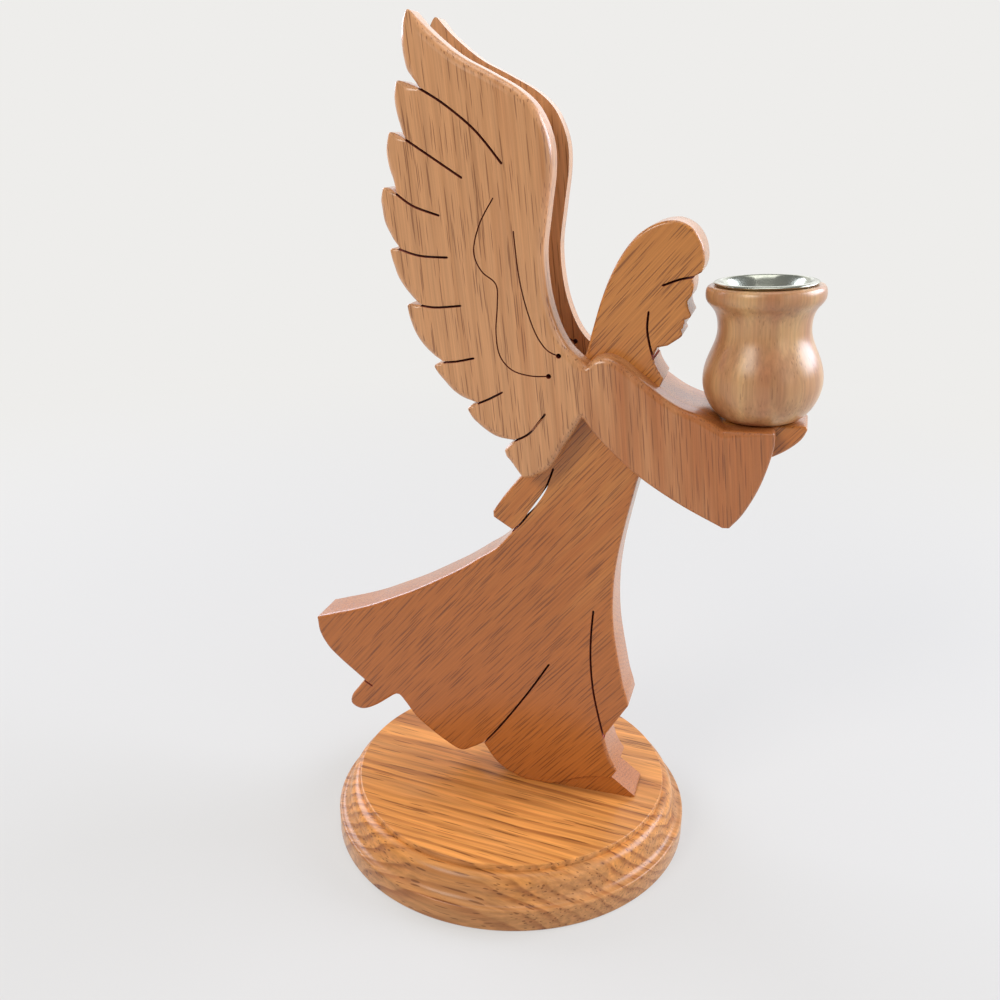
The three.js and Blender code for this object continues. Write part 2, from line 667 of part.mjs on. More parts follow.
const figure = new THREE.Group();
figure.position.z = BASE_HEIGHT;
figure.add(namedMesh('body_board', makeBody(), BODY_OAK));
figure.add(namedMesh('right_wing_panel', makePanel(-1), WING_OAK));
figure.add(namedMesh('left_wing_panel', makePanel(1), WING_OAK));
angel.add(figure);

const seat = new THREE.Group();
seat.position.set(seatMiddle.x, 0, seatMiddle.y);
seat.rotation.y = -SEAT_LEAN;
figure.add(seat);

const cup = namedMesh('candle_cup', makeCup(), CUP_WOOD);
cup.position.z = SEAT_GAP;
seat.add(cup);

const cupScrew = namedMesh('cup_screw', makeScrew(screwLengthCup), ZINC_STEEL);
cupScrew.rotation.x = Math.PI;
cupScrew.position.z = SEAT_GAP + CUP_HEIGHT - CUP_BORE_DEPTH;
seat.add(cupScrew);

const insert = namedMesh('cup_insert', makeInsert(), NICKEL);
insert.position.z = SEAT_GAP + CUP_HEIGHT + SEAT_GAP;
seat.add(insert);

export default angel;
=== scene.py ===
"""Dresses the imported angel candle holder: finely shaped pieces, finishes, studio and camera.

Outlines and profiles are in millimetres. The figure's own plane has its origin at the middle of
the base's top, x towards the way the figure faces and z up. Meshes are in metres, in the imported
part's frame.
"""

import logging
import math
from dataclasses import dataclass
from enum import Enum
from functools import cache

import bmesh
import bpy
import numpy as np
from mathutils import Matrix, Vector

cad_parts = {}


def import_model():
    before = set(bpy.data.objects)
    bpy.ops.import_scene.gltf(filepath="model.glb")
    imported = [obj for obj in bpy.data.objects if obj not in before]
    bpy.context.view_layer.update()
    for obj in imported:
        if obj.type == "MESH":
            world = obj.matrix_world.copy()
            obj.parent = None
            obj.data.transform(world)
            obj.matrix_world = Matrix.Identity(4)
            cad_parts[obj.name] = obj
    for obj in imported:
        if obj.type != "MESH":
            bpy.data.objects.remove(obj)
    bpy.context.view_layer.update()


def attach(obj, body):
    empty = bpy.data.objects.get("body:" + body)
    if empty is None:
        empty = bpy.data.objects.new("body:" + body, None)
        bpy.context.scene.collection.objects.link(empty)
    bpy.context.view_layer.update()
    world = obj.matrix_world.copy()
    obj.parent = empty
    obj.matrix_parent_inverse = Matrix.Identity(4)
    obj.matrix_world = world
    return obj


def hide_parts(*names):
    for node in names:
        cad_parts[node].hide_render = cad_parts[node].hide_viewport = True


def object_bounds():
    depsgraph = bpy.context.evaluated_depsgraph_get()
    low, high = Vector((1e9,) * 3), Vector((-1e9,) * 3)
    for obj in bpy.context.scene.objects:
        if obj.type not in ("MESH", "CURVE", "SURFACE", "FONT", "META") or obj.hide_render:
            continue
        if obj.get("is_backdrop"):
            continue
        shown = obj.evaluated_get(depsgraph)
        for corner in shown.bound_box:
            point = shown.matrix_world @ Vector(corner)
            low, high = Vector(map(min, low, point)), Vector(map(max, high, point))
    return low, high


LOG = logging.getLogger("angel_candle_holder")

MM = 0.001

Point = tuple[float, float]
Triple = tuple[float, float, float]
Run = list[Point]
Socket = bpy.types.NodeSocket
Value = float | tuple | Socket

# Heights and places that several pieces share
BASE_HEIGHT = 23.5
BODY_THICKNESS = 19.0
PANEL_THICKNESS = 9.5
SEAT_X = 92.4
SEAT_Z = 166.8
SEAT_LEAN = math.radians(3)
SEAT_GAP = 0.3
CUP_HEIGHT = 48.3
CUP_BORE_DEPTH = 26.0
CUFF_X = 98.0
KERF = 0.85
SCREW_HOLE_RADIUS = 2.4
SCREW_HEAD_ROOM = 4.4
BASE_SCREW_RECESS = 4.0
BASE_SCREW_X = {"front": 37.0, "rear": 17.0}

# How finely smooth shapes are drawn
RUN_STEP = 1.1
ROUND_STEPS = 7
CORNER_STEPS = 6
SPIN_STEPS = 160
SCREW_STEPS = 40
DRILL_STEPS = 48
SHARP_EDGE = math.radians(33)

# What counts as nothing: an edge's length in millimetres, and a distance in metres
SHORT_EDGE = 0.02
SAME_PLACE = 1e-6
# A face counts as square to an axis, or as a flat end, above this much of its normal along it
SQUARE_FACE = 0.99999
FLAT_END = 0.9999

# The wood pattern's own measures: sizes in millimetres, and spans of a ring or of noise
DRIFT_SIZE = (16, 16, 110)
PATCH_SIZE = (9, 9, 90)
FIBRE_RUN = 38
FIRST_WOOD = (0.02, 0.55)
LAST_WOOD = (0.86, 1.0)
FIBRE_SPAN = (0.3, 0.7)
PATCH_SPAN = (0.35, 0.65)


class Body(Enum):
    """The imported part's rigid bodies."""

    HOLDER = "holder"
    INSERT = "insert"


class Slot(Enum):
    """The record's material slots."""

    BASE_OAK = "base_oak"
    BODY_OAK = "body_oak"
    WING_OAK = "wing_oak"
    CUP_WOOD = "cup_wood"
    NICKEL = "nickel_insert"
    ZINC = "zinc_steel"


class Side(Enum):
    """The side of the body board that a wing panel is glued to."""

    RIGHT = -1
    LEFT = 1


class Curve(Enum):
    """How a ramp of values runs between its ends."""

    STRAIGHT = "LINEAR"
    SMOOTH = "SMOOTHSTEP"


def on_seat(x: float) -> Point:
    """Gives the point of the cup's leaning seat at x, in the figure's plane."""
    return x, SEAT_Z + (x - SEAT_X) * math.tan(SEAT_LEAN)


def linear(code: str) -> tuple[float, ...]:
    """Turns an sRGB hex colour into linear RGBA.

    Args:
        code: Six hex digits after a hash.

    Returns:
        Linear red, green, blue and an alpha of 1.
    """
    channels = [int(code[i : i + 2], 16) / 255 for i in (1, 3, 5)]
    curve = [c / 12.92 if c <= 0.04045 else ((c + 0.055) / 1.055) ** 2.4 for c in channels]
    return (*curve, 1.0)


def feed(node: bpy.types.Node, inputs: dict[str | int, Value]) -> None:
    """Gives inputs of a node their values or links.

    Args:
        node: The node.
        inputs: What each input socket, named or numbered, holds: a value or the socket it links to.
    """
    for socket, value in inputs.items():
        if isinstance(value, Socket):
            node.id_data.links.new(value, node.inputs[socket])
        else:
            node.inputs[socket].default_value = value


def add_node(tree: bpy.types.NodeTree, kind: str, inputs: dict, **settings) -> bpy.types.Node:
    """Adds a node with its settings, values and links.

    Args:
        tree: The node tree that gets the node.
        kind: The node's Blender type, without the ShaderNode in front.
        inputs: What each input socket holds.
        **settings: The node's own properties.

    Returns:
        The new node.
    """
    node = tree.nodes.new(f"ShaderNode{kind}")
    for name, value in settings.items():
        setattr(node, name, value)
    feed(node, inputs)
    return node


# Finishes


class Graph:
    """A new material's nodes, with a short method for each kind that recurs."""

    def __init__(self, name: str) -> None:
        """Makes the material with the shader that Blender gives it.

        Args:
            name: The material's name.
        """
        self.material = bpy.data.materials.new(name)
        self.material.use_nodes = True
        self.tree = self.material.node_tree
        self.shader = self.tree.nodes["Principled BSDF"]

    def add(self, kind: str, inputs: dict, output: str | int = 0, **settings) -> Socket:
        """Adds a node, as add_node does, and gives one of its outputs."""
        return add_node(self.tree, kind, inputs, **settings).outputs[output]

    def place(self) -> Socket:
        """Gives the place on the object, in metres."""
        return self.add("TexCoord", {}, "Object")

    def math(self, operation: str, *values: Value) -> Socket:
        """Works out numbers."""
        return self.add("Math", dict(enumerate(values)), operation=operation)

    def vector(self, operation: str, *values: Value, output: str = "Vector") -> Socket:
        """Works out vectors, or with Value as the output a vector's length or a dot product."""
        return self.add("VectorMath", dict(enumerate(values)), output, operation=operation)

    def cells(self, place: Socket, size: Triple) -> Socket:
        """Divides places into cells of a size, for a texture with one feature in each."""
        return self.add("Mapping", {"Vector": place, "Scale": tuple(1 / s for s in size)})

    def noise(self, place: Socket, size: Triple, detail: float, output: str = "Fac") -> Socket:
        """Adds noise whose features have a size."""
        inputs = {"Vector": self.cells(place, size), "Scale": 1.0, "Detail": detail}
        return self.add("TexNoise", inputs, output)

    def ramp(
        self, value: Socket, span: Point, to: Point, curve: Curve = Curve.STRAIGHT
    ) -> Socket:
        """Turns one span of values into another."""
        ends = {"From Min": span[0], "From Max": span[1], "To Min": to[0], "To Max": to[1]}
        return self.add("MapRange", {"Value": value, **ends}, interpolation_type=curve.value)

    def mix(self, share: Value, first: Value, second: Value, blend: str = "MIX") -> Socket:
        """Mixes a share of a second colour into a first one."""
        inputs = {0: share, 6: first, 7: second}
        return self.add("Mix", inputs, 2, data_type="RGBA", blend_type=blend)

    def bump(self, height: Socket, strength: float, distance: float) -> Socket:
        """Turns heights into a bumped normal, with its distance in millimetres."""
        inputs = {"Height": height, "Strength": strength, "Distance": distance * MM}
        return self.add("Bump", inputs)

    def dressed(self, **inputs: Value) -> bpy.types.Material:
        """Fills the shader's inputs, named with _ for each space, and gives the material."""
        feed(self.shader, {name.replace("_", " "): value for name, value in inputs.items()})
        return self.material


@dataclass(frozen=True)
class VarnishedWood:
    """Sawn or turned hardwood under a satin varnish.

    Growth rings are cylinders round a pith that lies off the board, drawn out along the grain.
    Open pores show as short dark dashes, mostly in each ring's first wood, and fibres as fine
    streaks. A slow lean of colour along the board paints light and shade into it.
    """

    name: str
    pale: str
    warm: str
    ring_tint: str
    pore_tint: str
    # Turns the object's axes so that the grain runs along the pattern's own z, in degrees
    grain_turn: Triple
    # Where the pith lies from the origin in the turned axes, in millimetres
    pith: Point
    ring_width: float
    # How far apart pores lie across and along the grain, in millimetres, and how much one fills
    pore_spacing: float
    pore_run: float
    pore_reach: float
    # How wide the fibres are, in millimetres, and how much they lighten and darken the wood
    fibre_width: float
    fibre_contrast: float
    wander: float
    ring_strength: float
    pore_strength: float
    roughness: float
    coat: float
    coat_roughness: float = 0.25
    # How fast the board turns warm along x, y and z, per millimetre, and where that starts: a lean of
    # colour that is painted light and shade, on some boards with the wood's own tone too
    painted_light_and_tone: Triple = (0.0, 0.0, 0.0)
    warm_from: float = 0.25

    def build(self) -> bpy.types.Material:
        """Builds the varnished wood.

        Returns:
            Its node material.
        """
        graph = Graph(self.name)
        place = graph.place()
        turn = tuple(math.radians(a) for a in self.grain_turn)
        grain = graph.add("Mapping", {"Vector": place, "Rotation": turn, "Scale": (1 / MM,) * 3})

        # The grain wanders slowly across the board
        drift = graph.noise(grain, DRIFT_SIZE, 2.0, "Color")
        centred = graph.vector("SUBTRACT", drift, (0.5, 0.5, 0.5))
        bent = graph.vector("MULTIPLY_ADD", centred, (self.wander, self.wander, 0), grain)

        # Growth rings: pale late wood that darkens sharply into the next ring's first wood
        spoke = graph.vector("SUBTRACT", bent, (*self.pith, 0))
        flat = graph.vector("MULTIPLY", spoke, (1, 1, 0))
        radius = graph.vector("LENGTH", flat, output="Value")
        phase = graph.math("FRACT", graph.math("DIVIDE", radius, self.ring_width))
        first_wood = graph.ramp(phase, FIRST_WOOD, (1, 0), Curve.SMOOTH)
        last_wood = graph.ramp(phase, LAST_WOOD, (0, 1), Curve.SMOOTH)
        band = graph.math("MAXIMUM", first_wood, last_wood)

        # Open pores: tapered dashes, drawn two or three times as wide as life so that they show
        dash = graph.cells(bent, (self.pore_spacing, self.pore_spacing, self.pore_run))
        pores = graph.add("TexVoronoi", {"Vector": dash, "Scale": 1.0}, "Distance")
        middle = graph.math("MULTIPLY_ADD", band, -0.1, pores)
        pore = graph.ramp(middle, (self.pore_reach * 0.6, self.pore_reach), (1, 0), Curve.SMOOTH)

        # Fibres, slow random changes of colour, and a lean of colour along the board that is painted
        # light and shade
        fibres = graph.noise(bent, (self.fibre_width, self.fibre_width, FIBRE_RUN), 3.0)
        patches = graph.noise(bent, PATCH_SIZE, 2.0)
        # Painted light and shade: the colour leans warm or pale along the board
        along = tuple(w / MM for w in self.painted_light_and_tone)
        lean = graph.vector("DOT_PRODUCT", place, along, output="Value")
        warm_span = (self.warm_from, self.warm_from + 0.5)
        tone_and_painted_light = graph.ramp(graph.math("ADD", lean, patches), warm_span, (0, 1), Curve.SMOOTH)
        ground = graph.mix(tone_and_painted_light, linear(self.pale), linear(self.warm))

        weakest, strongest = self.ring_strength * 0.4, self.ring_strength * 1.4
        vigour = graph.ramp(patches, PATCH_SPAN, (weakest, strongest))
        ringed = graph.mix(graph.math("MULTIPLY", band, vigour), ground, linear(self.ring_tint))
        streak_span = (1 - self.fibre_contrast, 1 + self.fibre_contrast)
        streak = graph.ramp(fibres, FIBRE_SPAN, streak_span)
        shades = graph.mix(1.0, ringed, streak, "MULTIPLY")
        pore_depth = graph.math("MULTIPLY", pore, self.pore_strength)

        # The varnish sinks a little into the pores
        relief = graph.math("MULTIPLY_ADD", pore, -1.0, fibres)
        return graph.dressed(
            Base_Color=graph.mix(pore_depth, shades, linear(self.pore_tint)),
            Roughness=graph.ramp(fibres, FIBRE_SPAN, (self.roughness + 0.06, self.roughness - 0.05)),
            Normal=graph.bump(relief, 0.3, 0.06),
            IOR=1.5,
            Specular_IOR_Level=0.15,
            Coat_Weight=self.coat,
            Coat_Roughness=self.coat_roughness,
        )


@dataclass(frozen=True)
class SawBurntWood:
    """The walls of a scroll saw's cut, scorched by the blade: dark, dull and streaked."""

    name: str = "saw_burnt_oak"
    scorched: str = "#8E3020"
    browned: str = "#A85C40"
    streak_width: float = 1.2

    def build(self) -> bpy.types.Material:
        """Builds the scorched wood, with blade marks that run along y.

        Returns:
            Its node material.
        """
        graph = Graph(self.name)
        width = self.streak_width * MM
        marks = graph.noise(graph.place(), (width, width * 10, width), 3.0)
        colour = graph.mix(marks, linear(self.scorched), linear(self.browned))
        return graph.dressed(Base_Color=colour, Roughness=0.85)


@dataclass(frozen=True)
class PlatedMetal:
    """Drawn or turned metal under a thin bright plate: mirror-like, with faint rings."""

    name: str
    bright: str
    dull: str
    roughness: float
    # Spacing of the fine rings and size of the clouded patches, in millimetres
    ring_spacing: float
    cloud: float

    def build(self) -> bpy.types.Material:
        """Builds the plated metal.

        Returns:
            Its node material.
        """
        graph = Graph(self.name)
        place = graph.place()
        patch = {"Vector": place, "Scale": 1 / (self.cloud * MM), "Detail": 4.0, "Roughness": 0.6}
        clouds = graph.add("TexNoise", patch, "Fac")
        # Rings left by drawing and buffing, one fine ripple per spacing of height
        ripple = graph.noise(place, (math.inf, math.inf, self.ring_spacing * MM), 2.0)
        return graph.dressed(
            Metallic=1.0,
            Base_Color=graph.mix(clouds, linear(self.bright), linear(self.dull)),
            Roughness=graph.ramp(clouds, (0.35, 0.7), (self.roughness, self.roughness + 0.14)),
            Normal=graph.bump(ripple, 0.2, 0.05),
        )


Finish = VarnishedWood | SawBurntWood | PlatedMetal


# Red oak board for the figure, its grain rising towards the front in fine close lines
FIGURE_OAK = VarnishedWood(
    name="varnished_red_oak",
    pale="#C17D3B",
    warm="#B26627",
    ring_tint="#8E4F22",
    pore_tint="#623010",
    grain_turn=(0, -40, 0),
    pith=(-150, 46),
    ring_width=1.4,
    pore_spacing=0.66,
    pore_run=20.0,
    pore_reach=0.36,
    fibre_width=0.5,
    fibre_contrast=0.14,
    wander=1.6,
    ring_strength=0.2,
    pore_strength=0.62,
    roughness=0.42,
    coat=1.0,
    # Painted shade and light: darker and more orange towards the hem, paler towards the head
    painted_light_and_tone=(0.0, 0.0, -0.004),
    warm_from=-0.4,
)

# Paler oak board for the wings and sleeves, its grain nearly upright
WING_OAK = VarnishedWood(
    name="varnished_white_oak",
    pale="#CB9363",
    warm="#AE6836",
    ring_tint="#A06838",
    pore_tint="#68371A",
    grain_turn=(0, 7, 0),
    pith=(-70, 95),
    ring_width=3.4,
    pore_spacing=0.7,
    pore_run=24.0,
    pore_reach=0.29,
    fibre_width=0.6,
    fibre_contrast=0.13,
    wander=2.5,
    ring_strength=0.26,
    pore_strength=0.6,
    roughness=0.42,
    coat=1.0,
    # Redder and darker towards the sleeve's cuff: partly the heartwood's own tone, partly painted shade
    # on the sleeve
    painted_light_and_tone=(0.006, 0.0, 0.0),
    warm_from=0.5,
)

# Flat-sawn oak disc for the base, its grain nearly along x
BASE_OAK = VarnishedWood(
    name="varnished_flat_sawn_oak",
    pale="#BC8450",
    warm="#D68F48",
    ring_tint="#8C4E26",
    pore_tint="#562A10",
    grain_turn=(-90, -83.5, 0),
    pith=(14, 58),
    ring_width=4.2,
    pore_spacing=1.2,
    pore_run=26.0,
    pore_reach=0.24,
    fibre_width=1.5,
    fibre_contrast=0.22,
    wander=7.0,
    ring_strength=0.55,
    pore_strength=0.6,
    roughness=0.38,
    coat=0.4,
    # Painted light: the top is brighter and more orange than the duller sides, as if lit from above
    painted_light_and_tone=(0.0, 0.0, 0.03),
    warm_from=0.75,
)

# Close-grained hardwood for the turned cup, glossier than the boards
CUP_WOOD = VarnishedWood(
    name="varnished_turned_birch",
    pale="#CFA572",
    warm="#AC744E",
    ring_tint="#A5744A",
    pore_tint="#7C4E2F",
    grain_turn=(0, 3, 0),
    pith=(60, 34),
    ring_width=6.5,
    pore_spacing=1.0,
    pore_run=14.0,
    pore_reach=0.17,
    fibre_width=0.9,
    fibre_contrast=0.14,
    wander=4.0,
    ring_strength=0.3,
    pore_strength=0.4,
    roughness=0.34,
    coat=0.9,
    coat_roughness=0.32,
)

NICKEL_PLATE = PlatedMetal("nickel_plated_brass", "#D6D7C8", "#8A8F82", 0.16, 0.35, 5.0)
ZINC_PLATE = PlatedMetal("zinc_plated_steel", "#B9BAB8", "#8E8F8C", 0.3, 0.25, 1.5)
SAW_BURN = SawBurntWood()


@cache
def material_of(finish: Finish) -> bpy.types.Material:
    """Gives a finish's material, which is built when it is first asked for."""
    return finish.build()


# Outlines


def smooth_run(points: Run, step: float) -> list[Vector]:
    """Draws a smooth curve through points.

    Args:
        points: The points that the curve goes through.
        step: The largest distance between the points returned, in millimetres.

    Returns:
        Points along the curve, without the first.
    """
    knots = [Vector(p) for p in points]
    if len(knots) == 2:
        return [knots[1]]
    drawn = []
    for i in range(len(knots) - 1):
        here, there = knots[i], knots[i + 1]
        leave = (there - knots[max(i - 1, 0)]) / 2
        arrive = (knots[min(i + 2, len(knots) - 1)] - here) / 2
        count = max(2, math.ceil((there - here).length / step))
        for k in range(1, count + 1):
            t = k / count
            bend = (2 * here - 2 * there + leave + arrive) * t**3
            sway = (3 * there - 3 * here - 2 * leave - arrive) * t**2
            drawn.append(bend + sway + leave * t + here)
    return drawn


@dataclass
class Outline:
    """A closed outline in the figure's plane, made of straight and smooth runs, in millimetres."""

    start: Point
    runs: list[Run]
    corner_radius: float = 1.2
    # The most that a corner's ease takes up on each side, as a share of its radius
    longest_ease: float = 1.5
    # The least distance left between an eased corner and the next point
    ease_margin: float = 0.05

    def trace(self) -> np.ndarray:
        """Draws the outline anticlockwise, with its outward corners eased.

        Returns:
            One row of x and z for each point.
        """
        drawn = [Vector(self.start)]
        for run in self.runs:
            drawn += smooth_run([tuple(drawn[-1]), *run], RUN_STEP)
        points = np.array([tuple(p) for p in drawn])
        apart = np.linalg.norm(points - np.roll(points, 1, axis=0), axis=1)
        points = points[apart > SHORT_EDGE]
        following = np.roll(points, -1, axis=0)
        area = np.sum(points[:, 0] * following[:, 1] - points[:, 1] * following[:, 0])
        if area < 0:
            points = points[::-1]
        return self._ease(points)

    def _ease(self, points: np.ndarray) -> np.ndarray:
        """Rounds each sharp outward corner to the corner radius.

        Args:
            points: The outline's points, anticlockwise.

        Returns:
            The points with each sharp corner drawn as a small curve.
        """
        lengths = np.linalg.norm(np.roll(points, -1, axis=0) - points, axis=1)
        station = np.concatenate([[0.0], np.cumsum(lengths)])
        total = station[-1]
        closed = np.vstack([points, points[:1]])

        def at(distance: float) -> np.ndarray:
            """Finds the point at a distance along the outline."""
            along = distance % total
            return np.array([np.interp(along, station, closed[:, axis]) for axis in (0, 1)])

        into = points - np.roll(points, 1, axis=0)
        out = np.roll(points, -1, axis=0) - points
        turn = np.arctan2(into[:, 0] * out[:, 1] - into[:, 1] * out[:, 0], (into * out).sum(axis=1))
        placed = []
        keep = np.ones(len(points), bool)
        for i in np.flatnonzero(turn > SHARP_EDGE):
            reach = self.corner_radius * min(math.tan(turn[i] / 2), self.longest_ease)
            before, after = at(station[i] - reach), at(station[i] + reach)
            for t in np.linspace(0, 1, CORNER_STEPS + 1):
                eased = (1 - t) ** 2 * before + 2 * t * (1 - t) * points[i] + t**2 * after
                placed.append((station[i] + (2 * t - 1) * reach, eased))
            gap = np.abs((station[:-1] - station[i] + total / 2) % total - total / 2)
            keep &= gap > reach + self.ease_margin
        placed += [(station[i], points[i]) for i in np.flatnonzero(keep)]
        placed.sort(key=lambda item: item[0])
        return np.array([p for _, p in placed])


def crossings(ring: np.ndarray) -> list[tuple[int, int]]:
    """Finds the pairs of a closed ring's edges that cross.

    Args:
        ring: One row of x and z for each corner.

    Returns:
        The numbers of the corners that the two edges of each pair start from.
    """

    def side(a: np.ndarray, b: np.ndarray, c: np.ndarray) -> np.ndarray:
        """Tells by its sign on which side of a line through a and b the point c lies."""
        along, off = b - a, c - a
        return along[..., 0] * off[..., 1] - along[..., 1] * off[..., 0]

    ahead = np.roll(ring, -1, axis=0)
    a, b, c, d = ring[:, None], ahead[:, None], ring[None], ahead[None]
    met = (side(a, b, c) * side(a, b, d) < 0) & (side(c, d, a) * side(c, d, b) < 0)
    return [(int(i), int(j)) for i, j in zip(*np.nonzero(np.triu(met, 2)))]


@dataclass
class Roundover:
    """A rounded edge that grows smaller where the wood is narrow or turns into a notch."""

    points: np.ndarray
    # The rounding's radius at each point
    radius: np.ndarray
    depths: int = 12
    # The most that the rounding changes by along one millimetre of the edge
    growth: float = 0.4
    # The least slope of a corner's way in against its sides, so that it goes in only so far
    least_lean: float = 0.7
    # Shares of a depth that a point keeps from the other edges, and that it goes in where it is stopped
    clearance: float = 0.93
    stopped_share: float = 0.9
    # An inner edge below this share of its outer one is too tight, and its inset is shortened by this
    tightest: float = 0.12
    shortening: float = 0.85
    spread_rounds: int = 60
    settle_rounds: int = 40

    def __post_init__(self) -> None:
        """Finds the way in from each point and how far the rounding may go."""
        ahead = np.roll(self.points, -1, axis=0) - self.points
        self.spacing = np.linalg.norm(ahead, axis=1)
        ahead /= self.spacing[:, None]
        behind = np.roll(ahead, 1, axis=0)
        normals = np.stack([-ahead[:, 1] - behind[:, 1], ahead[:, 0] + behind[:, 0]], axis=1)
        normals /= np.linalg.norm(normals, axis=1)[:, None]
        corner = behind[:, 0] * ahead[:, 1] - behind[:, 1] * ahead[:, 0] > 0
        lean = normals[:, 0] * -behind[:, 1] + normals[:, 1] * behind[:, 0]
        self.ways = normals * np.where(corner, 1 / np.maximum(lean, self.least_lean), 1.0)[:, None]
        self.reach = self._limits()
        self._settle()

    def _clear(self, depth: float) -> np.ndarray:
        """Tells which points can move in by a depth and stay that far from the rest of the outline.

        Args:
            depth: How far each point moves in.

        Returns:
            True for each point that can.
        """
        moved = self.points + self.ways * depth
        edge = np.roll(self.points, -1, axis=0) - self.points
        offset = moved[:, None, :] - self.points[None, :, :]
        share = (offset * edge).sum(axis=2) / (edge * edge).sum(axis=1)
        nearest = offset - np.clip(share, 0, 1)[:, :, None] * edge
        distance = np.linalg.norm(nearest, axis=2)
        own = np.arange(len(self.points))
        distance[own, own] = np.inf
        distance[own, own - 1] = np.inf
        return distance.min(axis=1) > depth * self.clearance

    def _limits(self) -> np.ndarray:
        """Finds how far each point may move in, up to its radius.

        Returns:
            The insets, which change slowly along the outline.
        """
        free = np.ones(len(self.points), bool)
        room = np.zeros(len(self.points))
        for depth in np.linspace(0, self.radius.max(), self.depths + 1)[1:]:
            free &= self._clear(depth)
            room[free] = depth
        room = np.where(free, room, room * self.stopped_share)
        return self._spread(np.minimum(self.radius, room))

    def _spread(self, reach: np.ndarray) -> np.ndarray:
        """Lets the insets change only slowly along the outline, by lowering those beside a small one.

        Args:
            reach: The inset at each point.

        Returns:
            The lowered insets.
        """
        for _ in range(self.spread_rounds):
            ahead = np.roll(reach, -1) + self.growth * self.spacing
            behind = np.roll(reach, 1) + self.growth * np.roll(self.spacing, 1)
            reach = np.minimum(reach, np.minimum(ahead, behind))
        return np.maximum(reach, SHORT_EDGE)

    def _settle(self) -> None:
        """Shortens the insets wherever the inner ring turns back or crosses itself."""
        edge = np.roll(self.points, -1, axis=0) - self.points
        count = len(self.points)
        for _ in range(self.settle_rounds):
            inner = self.points + self.ways * self.reach[:, None]
            inner_edge = np.roll(inner, -1, axis=0) - inner
            tight = (inner_edge * edge).sum(axis=1) < self.tightest * (edge * edge).sum(axis=1)
            for i, j in crossings(inner):
                near = range(i, j + 1) if j - i < count / 2 else range(j, i + count + 1)
                tight[[k % count for k in near]] = True
            if not tight.any():
                return
            shorter = self.reach * self.shortening
            self.reach = self._spread(np.where(tight | np.roll(tight, 1), shorter, self.reach))

    def rings(self, face: float, inward: int) -> list[list[Vector]]:
        """Draws the edge's rings from the flat face out to the board's side.

        Args:
            face: The y of the flat face.
            inward: The sign of y that leads from the face into the board.

        Returns:
            Rings of places in metres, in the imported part's frame.
        """
        rings = []
        for step in range(ROUND_STEPS + 1):
            angle = math.pi / 2 * (1 - step / ROUND_STEPS)
            place = self.points + self.ways * (self.reach * (1 - math.cos(angle)))[:, None]
            depth = face + inward * self.reach * (1 - math.sin(angle))
            rings.append([figure_point(x, y, z) for (x, z), y in zip(place, depth)])
        return rings


def figure_point(x: float, y: float, z: float) -> Vector:
    """Turns a place in the figure's frame, in millimetres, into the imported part's frame in metres."""
    return Vector((x, y, z + BASE_HEIGHT)) * MM


# Meshes


def mesh_object(name: str, bm: bmesh.types.BMesh, *finishes: Finish) -> bpy.types.Object:
    """Turns a bmesh into a linked object with its sharp edges marked.

    Args:
        name: The object's name.
        bm: The mesh, which is freed.
        *finishes: What the object is made of.

    Returns:
        The new object, at the origin.
    """
    mesh = bpy.data.meshes.new(name)
    bm.to_mesh(mesh)
    bm.free()
    piece = bpy.data.objects.new(name, mesh)
    bpy.context.scene.collection.objects.link(piece)
    mark_sharp_edges(mesh)
    for finish in finishes:
        mesh.materials.append(material_of(finish))
    return piece


def mark_sharp_edges(mesh: bpy.types.Mesh) -> None:
    """Shades a mesh smooth, with its sharp edges kept and the boards' flat faces flat.

    Args:
        mesh: The mesh to shade.
    """
    bm = bmesh.new()
    bm.from_mesh(mesh)
    for face in bm.faces:
        face.smooth = max(abs(c) for c in face.normal) < SQUARE_FACE
    for edge in bm.edges:
        edge.smooth = len(edge.link_faces) == 2 and edge.calc_face_angle() < SHARP_EDGE
    bm.to_mesh(mesh)
    bm.free()


def cut_away(piece: bpy.types.Object, cutters: list[bpy.types.Object]) -> None:
    """Cuts shapes out of a piece, whose new walls get the cutters' finishes.

    Args:
        piece: The object to cut, which keeps its name.
        cutters: Closed objects to take away, which are removed.
    """
    # In metres the solver would merge places that lie a few micrometres apart
    for shape in (piece, *cutters):
        shape.data.transform(Matrix.Scale(1 / MM, 4))
    for cutter in cutters:
        cut = piece.modifiers.new(cutter.name, "BOOLEAN")
        cut.operation = "DIFFERENCE"
        cut.solver = "EXACT"
        cut.material_mode = "TRANSFER"
        cut.object = cutter
    graph = bpy.context.evaluated_depsgraph_get()
    finished = bpy.data.meshes.new_from_object(piece.evaluated_get(graph), depsgraph=graph)
    finished.name = piece.name
    finished.transform(Matrix.Scale(MM, 4))
    piece.modifiers.clear()
    piece.data = finished
    mark_sharp_edges(finished)
    for cutter in cutters:
        bpy.data.objects.remove(cutter)


def sawn_board(name: str, rings: list[list[Vector]], wood: Finish) -> bpy.types.Object:
    """Builds a board by extruding its first face through a series of rings.

    Args:
        name: The object's name.
        rings: Rings of matching places, from the board's low face to its high one.
        wood: What the board is made of.

    Returns:
        The board as a closed object.
    """
    bm = bmesh.new()
    face = bm.faces.new([bm.verts.new(p) for p in rings[0]])
    for step, ring in enumerate(rings[1:]):
        grown = bmesh.ops.extrude_face_region(bm, geom=[face])["geom"]
        if step > 0:
            # Only the first face stays, as the board's low face
            bmesh.ops.delete(bm, geom=[face], context="FACES_ONLY")
        face = next(g for g in grown if isinstance(g, bmesh.types.BMFace))
        for vert, place in zip(face.verts, ring):
            vert.co = place
    bmesh.ops.recalc_face_normals(bm, faces=bm.faces[:])
    return mesh_object(name, bm, wood)


